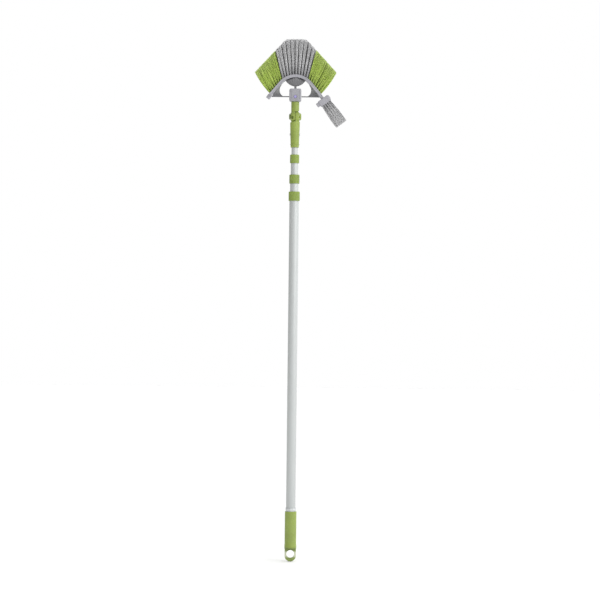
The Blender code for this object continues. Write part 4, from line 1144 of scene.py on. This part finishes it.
# %% [markdown]
# ## Bristles
# Bristles are set in tufts: a bundle of strands is stapled in each hole, stands tight at the
# root and opens towards the tip until neighbours mingle. Hair particles could do this, but
# they don't become a mesh that can be exported. So each tuft starts as one edge from root to
# tip, and a tree turns the edge into many thin three-sided strands. Each strand takes a random
# place in the tuft, is turned about itself by chance, bends a little on its way and stops a
# little short of the trimmed line.


# %% The tuft tree
STRAND_POINTS = 6
STRAND_SIDES = 3
TIP_THICKNESS = 0.7


def named(tree, name, kind="FLOAT_VECTOR"):
    return put(tree, "GeometryNodeInputNamedAttribute", {"Name": name}, data_type=kind).outputs["Attribute"]


def build_tuft_tree():
    numbers = ("Root Radius", "Tip Half Depth", "Thickness", "Raggedness", "Wave", "Opening")
    sizes = dict.fromkeys(numbers, "Float")
    inputs = {"Strands": "Int", **sizes, "Depth Direction": "Vector", "Seed": "Int"}
    tree, given = new_tree("tufts_of_bristles", inputs)
    lines = add(tree, "GeometryNodeMeshToCurve", {0: given["Geometry"]})
    values = {"Geometry": lines, "Amount": given["Strands"]}
    many = add(tree, "GeometryNodeDuplicateElements", values, domain="SPLINE")
    strands = add(tree, "GeometryNodeResampleCurve", {"Curve": many, "Count": STRAND_POINTS})
    index = add(tree, "GeometryNodeInputIndex")
    own = add(tree, "GeometryNodeFieldOnDomain", {0: index}, domain="CURVE", data_type="INT")

    def chance(number, low, high):
        """A random number for each strand, from its own number and the seed."""
        values = {2: low, 3: high, 7: own, 8: calc(tree, "ADD", given["Seed"], number)}
        return put(tree, "FunctionNodeRandomValue", values, data_type="FLOAT").outputs[1]

    across, deep = chance(0, -1.0, 1.0), chance(1, -1.0, 1.0)
    short, tint = chance(2, 0.0, 1.0), chance(3, 0.0, 1.0)
    sway_across, sway_deep = chance(4, -1.0, 1.0), chance(5, -1.0, 1.0)
    twist = chance(6, 0.0, 2 * pi / 3)
    t = named(tree, "far", "FLOAT")
    root_side, tip_side, inwards = named(tree, "root_side"), named(tree, "tip_side"), given["Depth Direction"]

    def on_disc(one, other):
        squeezed = calc(tree, "SUBTRACT", 1.0, product(tree, other, other, 0.5))
        return product(tree, one, calc(tree, "SQRT", squeezed), given["Root Radius"])

    def moved_by(side, sideways, depth):
        return vector_sum(tree, scaled(tree, side, sideways), scaled(tree, inwards, depth))

    at_root = moved_by(root_side, on_disc(across, deep), on_disc(deep, across))
    at_tip = moved_by(tip_side, across, product(tree, deep, given["Tip Half Depth"]))
    still_closed = calc(tree, "POWER", calc(tree, "SUBTRACT", 1.0, t), given["Opening"])
    opened = calc(tree, "SUBTRACT", 1.0, still_closed)
    spread = vector_sum(tree, scaled(tree, at_root, still_closed), scaled(tree, at_tip, opened))
    cut_short = product(tree, short, short, given["Raggedness"], t, -1.0)
    pulled = scaled(tree, named(tree, "along"), cut_short)
    belly = calc(tree, "SINE", product(tree, t, pi))
    wave = product(tree, belly, given["Wave"])
    swing = moved_by(root_side, product(tree, sway_across, wave), product(tree, sway_deep, wave))
    bowed = vector_sum(tree, swing, scaled(tree, named(tree, "bow"), belly))
    values = {"Geometry": strands, "Offset": vector_sum(tree, spread, pulled, bowed)}
    moved = add(tree, "GeometryNodeSetPosition", values)
    placed = add(tree, "GeometryNodeSetCurveTilt", {"Curve": moved, "Tilt": twist})
    # The tuft's tone, which sets its painted shade, goes into the strand attribute with the strand's own
    # tint.
    look = add(tree, "ShaderNodeCombineXYZ", {"X": t, "Y": named(tree, "tone", "FLOAT"), "Z": tint})
    values = {"Geometry": placed, "Name": "strand", "Value": look}
    kind = "GeometryNodeStoreNamedAttribute"
    stored = add(tree, kind, values, data_type="FLOAT_VECTOR", domain="POINT")
    values = {"Resolution": STRAND_SIDES, "Radius": product(tree, given["Thickness"], 0.5)}
    profile = add(tree, "GeometryNodeCurvePrimitiveCircle", values)
    values = {"Curve": stored, "Profile Curve": profile, "Fill Caps": True}
    values["Scale"] = remap(tree, t, 0.0, 1.0, 1.0, TIP_THICKNESS)
    return end_tree(tree, add(tree, "GeometryNodeCurveToMesh", values), given)


TUFT_TREE = build_tuft_tree()


def point_cloud(name, points, edges, vectors, numbers):
    """An object of bare points and edges, with vectors and numbers stored on the points."""
    mesh = bpy.data.meshes.new(name)
    mesh.from_pydata(points, edges, [])
    for label, values in vectors.items():
        layer = mesh.attributes.new(label, "FLOAT_VECTOR", "POINT")
        layer.data.foreach_set("vector", [part for vector in values for part in vector])
    for label, values in numbers.items():
        mesh.attributes.new(label, "FLOAT", "POINT").data.foreach_set("value", values)
    return add_object(name, mesh)


def tuft_lines(name, tufts):
    """One edge for each tuft, which carries the tuft's directions and its tone, which sets its painted shade,
    as attributes.
    """
    twice = [tuft for tuft in tufts for _ in range(2)]
    points = [tuft[end] for tuft in tufts for end in ("root", "tip")]
    edges = [(2 * index, 2 * index + 1) for index in range(len(tufts))]
    vectors = {label: [tuft[label] for tuft in twice] for label in ("root_side", "tip_side", "bow")}
    vectors["along"] = [tuft["tip"] - tuft["root"] for tuft in twice]
    numbers = {"tone": [tuft["tone"] for tuft in twice], "far": [0.0, 1.0] * len(tufts)}
    return point_cloud(name, points, edges, vectors, numbers)


print("tuft tree has", len(TUFT_TREE.nodes), "nodes")

# %% [markdown]
# ## The fan
# The fan is trimmed to a roof shape: flat over the crown and then straight down to each side.
# A tuft leans further out the further it stands from the crown, so one rule gives the root
# and the tip for any place along the band, and the spread of a tuft's tips follows the
# trimmed line between its neighbours.

# %% The rule of the fan
FAN_TOP_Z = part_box("centre_bristles")[1].z - 0.5 * MM
FAN_TOP_HALF_WIDTH = 30 * MM
FAN_CORNER_X = 120.5 * MM
FAN_CORNER_DROP = 98 * MM
CENTRE_LEAN = radians(15)
FAN_LEAN = radians(36)
FAN_SHIFT = 1.2 * MM
LONGEST = 0.2
ARC_LENGTH = BAND_OUTER * ARCH_HALF_ANGLE
HALF_LENGTH = ARC_LENGTH + 43.1 * MM
PARTING = BAND_OUTER * radians(37.5) / HALF_LENGTH


def trimmed_height(x):
    slope = FAN_CORNER_DROP / (FAN_CORNER_X - FAN_TOP_HALF_WIDTH)
    return FAN_TOP_Z - max(0.0, abs(x - FAN_SHIFT) - FAN_TOP_HALF_WIDTH) * slope


def bristle_line(share):
    """Root and tip at a share of the band, from 0 at the crown to 1 or -1 at a leg's end."""
    size = abs(share)
    distance = size * HALF_LENGTH
    angle = min(distance, ARC_LENGTH) / BAND_OUTER
    root = Vector((BAND_OUTER * sin(angle), 0, ARCH_Z + BAND_OUTER * cos(angle)))
    root += max(0.0, distance - ARC_LENGTH) * LEG_DIRECTION
    if size < PARTING:
        lean = CENTRE_LEAN * size / PARTING
    else:
        lean = CENTRE_LEAN + (FAN_LEAN - CENTRE_LEAN) * (size - PARTING) / (1 - PARTING)
    side = -1 if share < 0 else 1
    root.x *= side
    direction = Vector((side * sin(lean), 0, cos(lean)))
    near, far = 0.0, LONGEST
    for _ in range(24):
        middle = (near + far) / 2
        point = root + middle * direction
        if point.z < trimmed_height(point.x):
            near = middle
        else:
            far = middle
    return root, root + near * direction


ROOT_ROWS = (-10.5 * MM, -3.5 * MM, 3.5 * MM, 10.5 * MM)
TIP_ROWS = (-16.8 * MM, -5.7 * MM, 5.7 * MM, 16.8 * MM)
# Painted shade: the two inner rows get a low tone, which the bristle material paints darker near the roots.
ROW_SHADE_TONES = (0.85, 0.20, 0.20, 0.85)
OUTWARD_BOW = 2.0 * MM
INSET = 2.3 * MM / HALF_LENGTH
STAGGER = 0.25
dice = np.random.default_rng(7)


def fan_tufts(start, end, columns, mingle):
    """Tufts between two shares of the band. The rows stand aside from each other by half a
    step, and the pattern runs on from one part of the fan to the next."""
    tufts = []
    step = (end - start) / columns
    for row, (root_y, tip_y) in enumerate(zip(ROOT_ROWS, TIP_ROWS)):
        shift = STAGGER if row % 2 else -STAGGER
        for column in range(columns):
            share = start + (column + 0.5 + shift) * step
            root_before, tip_before = bristle_line(max(start, share - step / 2))
            root_after, tip_after = bristle_line(min(end, share + step / 2))
            root = bristle_line(min(end - INSET, max(start + INSET, share)))[0]
            wander = dice.uniform(-1, 1, 4)
            # Painted shade is left off the tufts at each end of the fan, which stand open to the light, so
            # all their rows take the outer rows' tone.
            end_column = abs(share) > 1 - 1.3 * step
            tone = ROW_SHADE_TONES[0] if end_column else ROW_SHADE_TONES[row]
            spread = mingle * (1 + 0.18 * wander[3]) if row in (0, 3) else 1.0
            inside = 0 < column < columns - 1
            aside = (tip_after - tip_before) * 0.16 * wander[2] * inside
            outwards = Vector((share, 0, -0.6 * abs(share))) * abs(share) * OUTWARD_BOW
            deeper = Vector((0, tip_y + wander[0] * 0.8 * MM, 0))
            tufts.append(
                {
                    "root": root + Vector((0, root_y, 0)),
                    "tip": (tip_before + tip_after) / 2 + aside + deeper,
                    "root_side": (root_after - root_before).normalized(),
                    "tip_side": (tip_after - tip_before) * 0.5 * spread,
                    "bow": outwards,
                    "tone": float(np.clip(tone + 0.22 * wander[1], 0, 1)),
                }
            )
    return tufts


centre_tufts = fan_tufts(-PARTING, PARTING, 10, 0.80)
right_tufts = fan_tufts(PARTING, 1, 7, 1.05)
left_tufts = fan_tufts(-1, -PARTING, 7, 1.05)
print("tufts:", len(centre_tufts), "in the middle,", len(left_tufts), "on each side")

# %% Grow the fan
FAN_STRANDS = {
    "Strands": 120,
    "Root Radius": 2.3 * MM,
    "Tip Half Depth": 4.9 * MM,
    "Thickness": 0.55 * MM,
    "Raggedness": 0.03,
    "Wave": 0.3 * MM,
    "Depth Direction": (0, 1, 0),
}
fans = [
    ("centre_bristles", centre_tufts, GREY_HAIR, "grey_bristle", 11, 1.0),
    ("left_bristles", left_tufts, GREEN_HAIR, "green_bristle", 23, 2.0),
    ("right_bristles", right_tufts, GREEN_HAIR, "green_bristle", 37, 2.0),
]
for node, tufts, hair, slot, seed, opening in fans:
    values = dict(FAN_STRANDS, Opening=opening, Seed=seed, Material=hair)
    fan = run_tree(tuft_lines("tuft_lines", tufts), f"tufted_{node}", TUFT_TREE, values)
    hand_over(fan, "head", None, slot, node, sharp=False)

# %% [markdown]
# ## The small brush
# Its tufts stand three rows deep along the holder's own axis, five to an outer row and four
# between them, so they are laid out flat and then turned in place. The strands stay closer
# together than the fan's, because the brush is cut for corners.

# %% Grow the small brush
DETAIL_ROOT_HALF = 15.5 * MM
DETAIL_TIP_HALF = 18.7 * MM
DETAIL_DEPTH = (-4.6 * MM, 0, 4.6 * MM)
DETAIL_TIP_DEPTH = (-5.2 * MM, 0, 5.2 * MM)
DETAIL_LENGTH = 75.5 * MM
DETAIL_COLUMNS = 5
DETAIL_BOW = 0.8 * MM
LIGHT_TONE = 0.72
# Painted shade: the inner tufts of the middle row get a very low tone, so the material paints them darker
# near the roots.
PAINTED_SHADE_TONE = 0.05
turned = right_end.to_3x3()
reach = (DETAIL_ROOT_HALF - 2.2 * MM) * DETAIL_COLUMNS / (DETAIL_COLUMNS - 1)
tip_z = holder_top + DETAIL_LENGTH + FIT
detail_tufts = []
for row, (root_y, tip_y) in enumerate(zip(DETAIL_DEPTH, DETAIL_TIP_DEPTH)):
    shift = 0.5 * (row % 2)
    for column in range(DETAIL_COLUMNS - row % 2):
        place = -1 + 2 * (column + 0.5 + shift) / DETAIL_COLUMNS
        wander = dice.uniform(-1, 1, 3)
        tone = PAINTED_SHADE_TONE if row == 1 and 0 < column < DETAIL_COLUMNS - 2 else LIGHT_TONE
        detail_tufts.append(
            {
                "root": right_end @ Vector((place * reach, root_y, holder_top)),
                "tip": right_end @ Vector((place * DETAIL_TIP_HALF, tip_y, tip_z)),
                "root_side": turned @ Vector((1, 0, 0)),
                "tip_side": turned @ Vector((DETAIL_TIP_HALF / DETAIL_COLUMNS, 0, 0)),
                "bow": turned @ Vector((place * DETAIL_BOW, 0, 0)),
                "tone": float(np.clip(tone + 0.08 * wander[1], 0, 1)),
            }
        )
values = {
    "Strands": 110,
    "Root Radius": 1.9 * MM,
    "Tip Half Depth": 2.4 * MM,
    "Thickness": 0.45 * MM,
    "Raggedness": 0.05,
    "Wave": 0.25 * MM,
    "Opening": 2.4,
    "Depth Direction": (0, 1, 0),
    "Seed": 51,
    "Material": GREY_HAIR,
}
lines = tuft_lines("detail_lines", detail_tufts)
small = run_tree(lines, "tufted_detail_bristles", TUFT_TREE, values)
hand_over(small, "detail", None, "grey_bristle", "detail_bristles", sharp=False)

# %% [markdown]
# ## Rims round the tufts
# Each tuft comes out of a hole with a slightly raised rim. The rims repeat exactly where the
# tufts stand, so a tree sets one small ring at each root and turns it to face along the tuft.


# %% Rims
RIM_SIZES = {"Rim Radius": 2.75 * MM, "Rim Thickness": 0.45 * MM, "Material": GREY}


def build_rim_tree():
    tree, given = new_tree("rims_on_roots", {"Rim Radius": "Float", "Rim Thickness": "Float"})
    circle, profile = (
        add(tree, "GeometryNodeCurvePrimitiveCircle", {"Resolution": points, "Radius": given[radius]})
        for points, radius in ((16, "Rim Radius"), (5, "Rim Thickness"))
    )
    ring = add(tree, "GeometryNodeCurveToMesh", {"Curve": circle, "Profile Curve": profile})
    kind = "FunctionNodeAlignRotationToVector"
    facing = add(tree, kind, {"Vector": named(tree, "facing")}, axis="Z")
    values = {"Points": given["Geometry"], "Instance": ring, "Rotation": facing}
    return end_tree(tree, add(tree, "GeometryNodeInstanceOnPoints", values), given)


RIM_TREE = build_rim_tree()


def add_rims(name, tufts, facings, body):
    item = point_cloud(name, [tuft["root"] for tuft in tufts], [], {"facing": facings}, {})
    rims = run_tree(item, name, RIM_TREE, RIM_SIZES)
    hand_over(rims, body, GREY, "grey_plastic", sharp=False)


fan_roots = centre_tufts + left_tufts + right_tufts
outwards = [Vector((0, -1, 0)).cross(tuft["root_side"]) for tuft in fan_roots]
add_rims("tuft_rims_on_block", fan_roots, outwards, "head")
add_rims("tuft_rims_on_holder", detail_tufts, [turned @ Vector((0, 0, 1))] * len(detail_tufts), "detail")

# %% [markdown]
# ## Pieces kept from the model
# The collets, the glide bushes, the washer and the spring hide inside the pole, and their
# shape in the model is already right. They only take a finish.

# %% Finishes of the hidden pieces
hidden = {f"collet_{number}": INNER_GREY for number in (1, 2, 3)}
hidden |= {f"glide_bush_{number}": INNER_GREY for number in (2, 3, 4)}
hidden |= {"friction_washer": WASHER, "button_spring": STEEL}
for node, finish in hidden.items():
    item = frame["nodes"][node]
    item.data.materials.clear()
    item.data.materials.append(finish)
print("kept:", sorted(hidden))

# %% [markdown]
# ## Close the lesson
# The box of the finished pole is compared with the model's box.

# %% Sizes and finish
low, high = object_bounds()
print("box change in mm:", [round((a - b) / MM, 2) for a, b in zip((*low, *high), (*cad_low, *cad_high))])
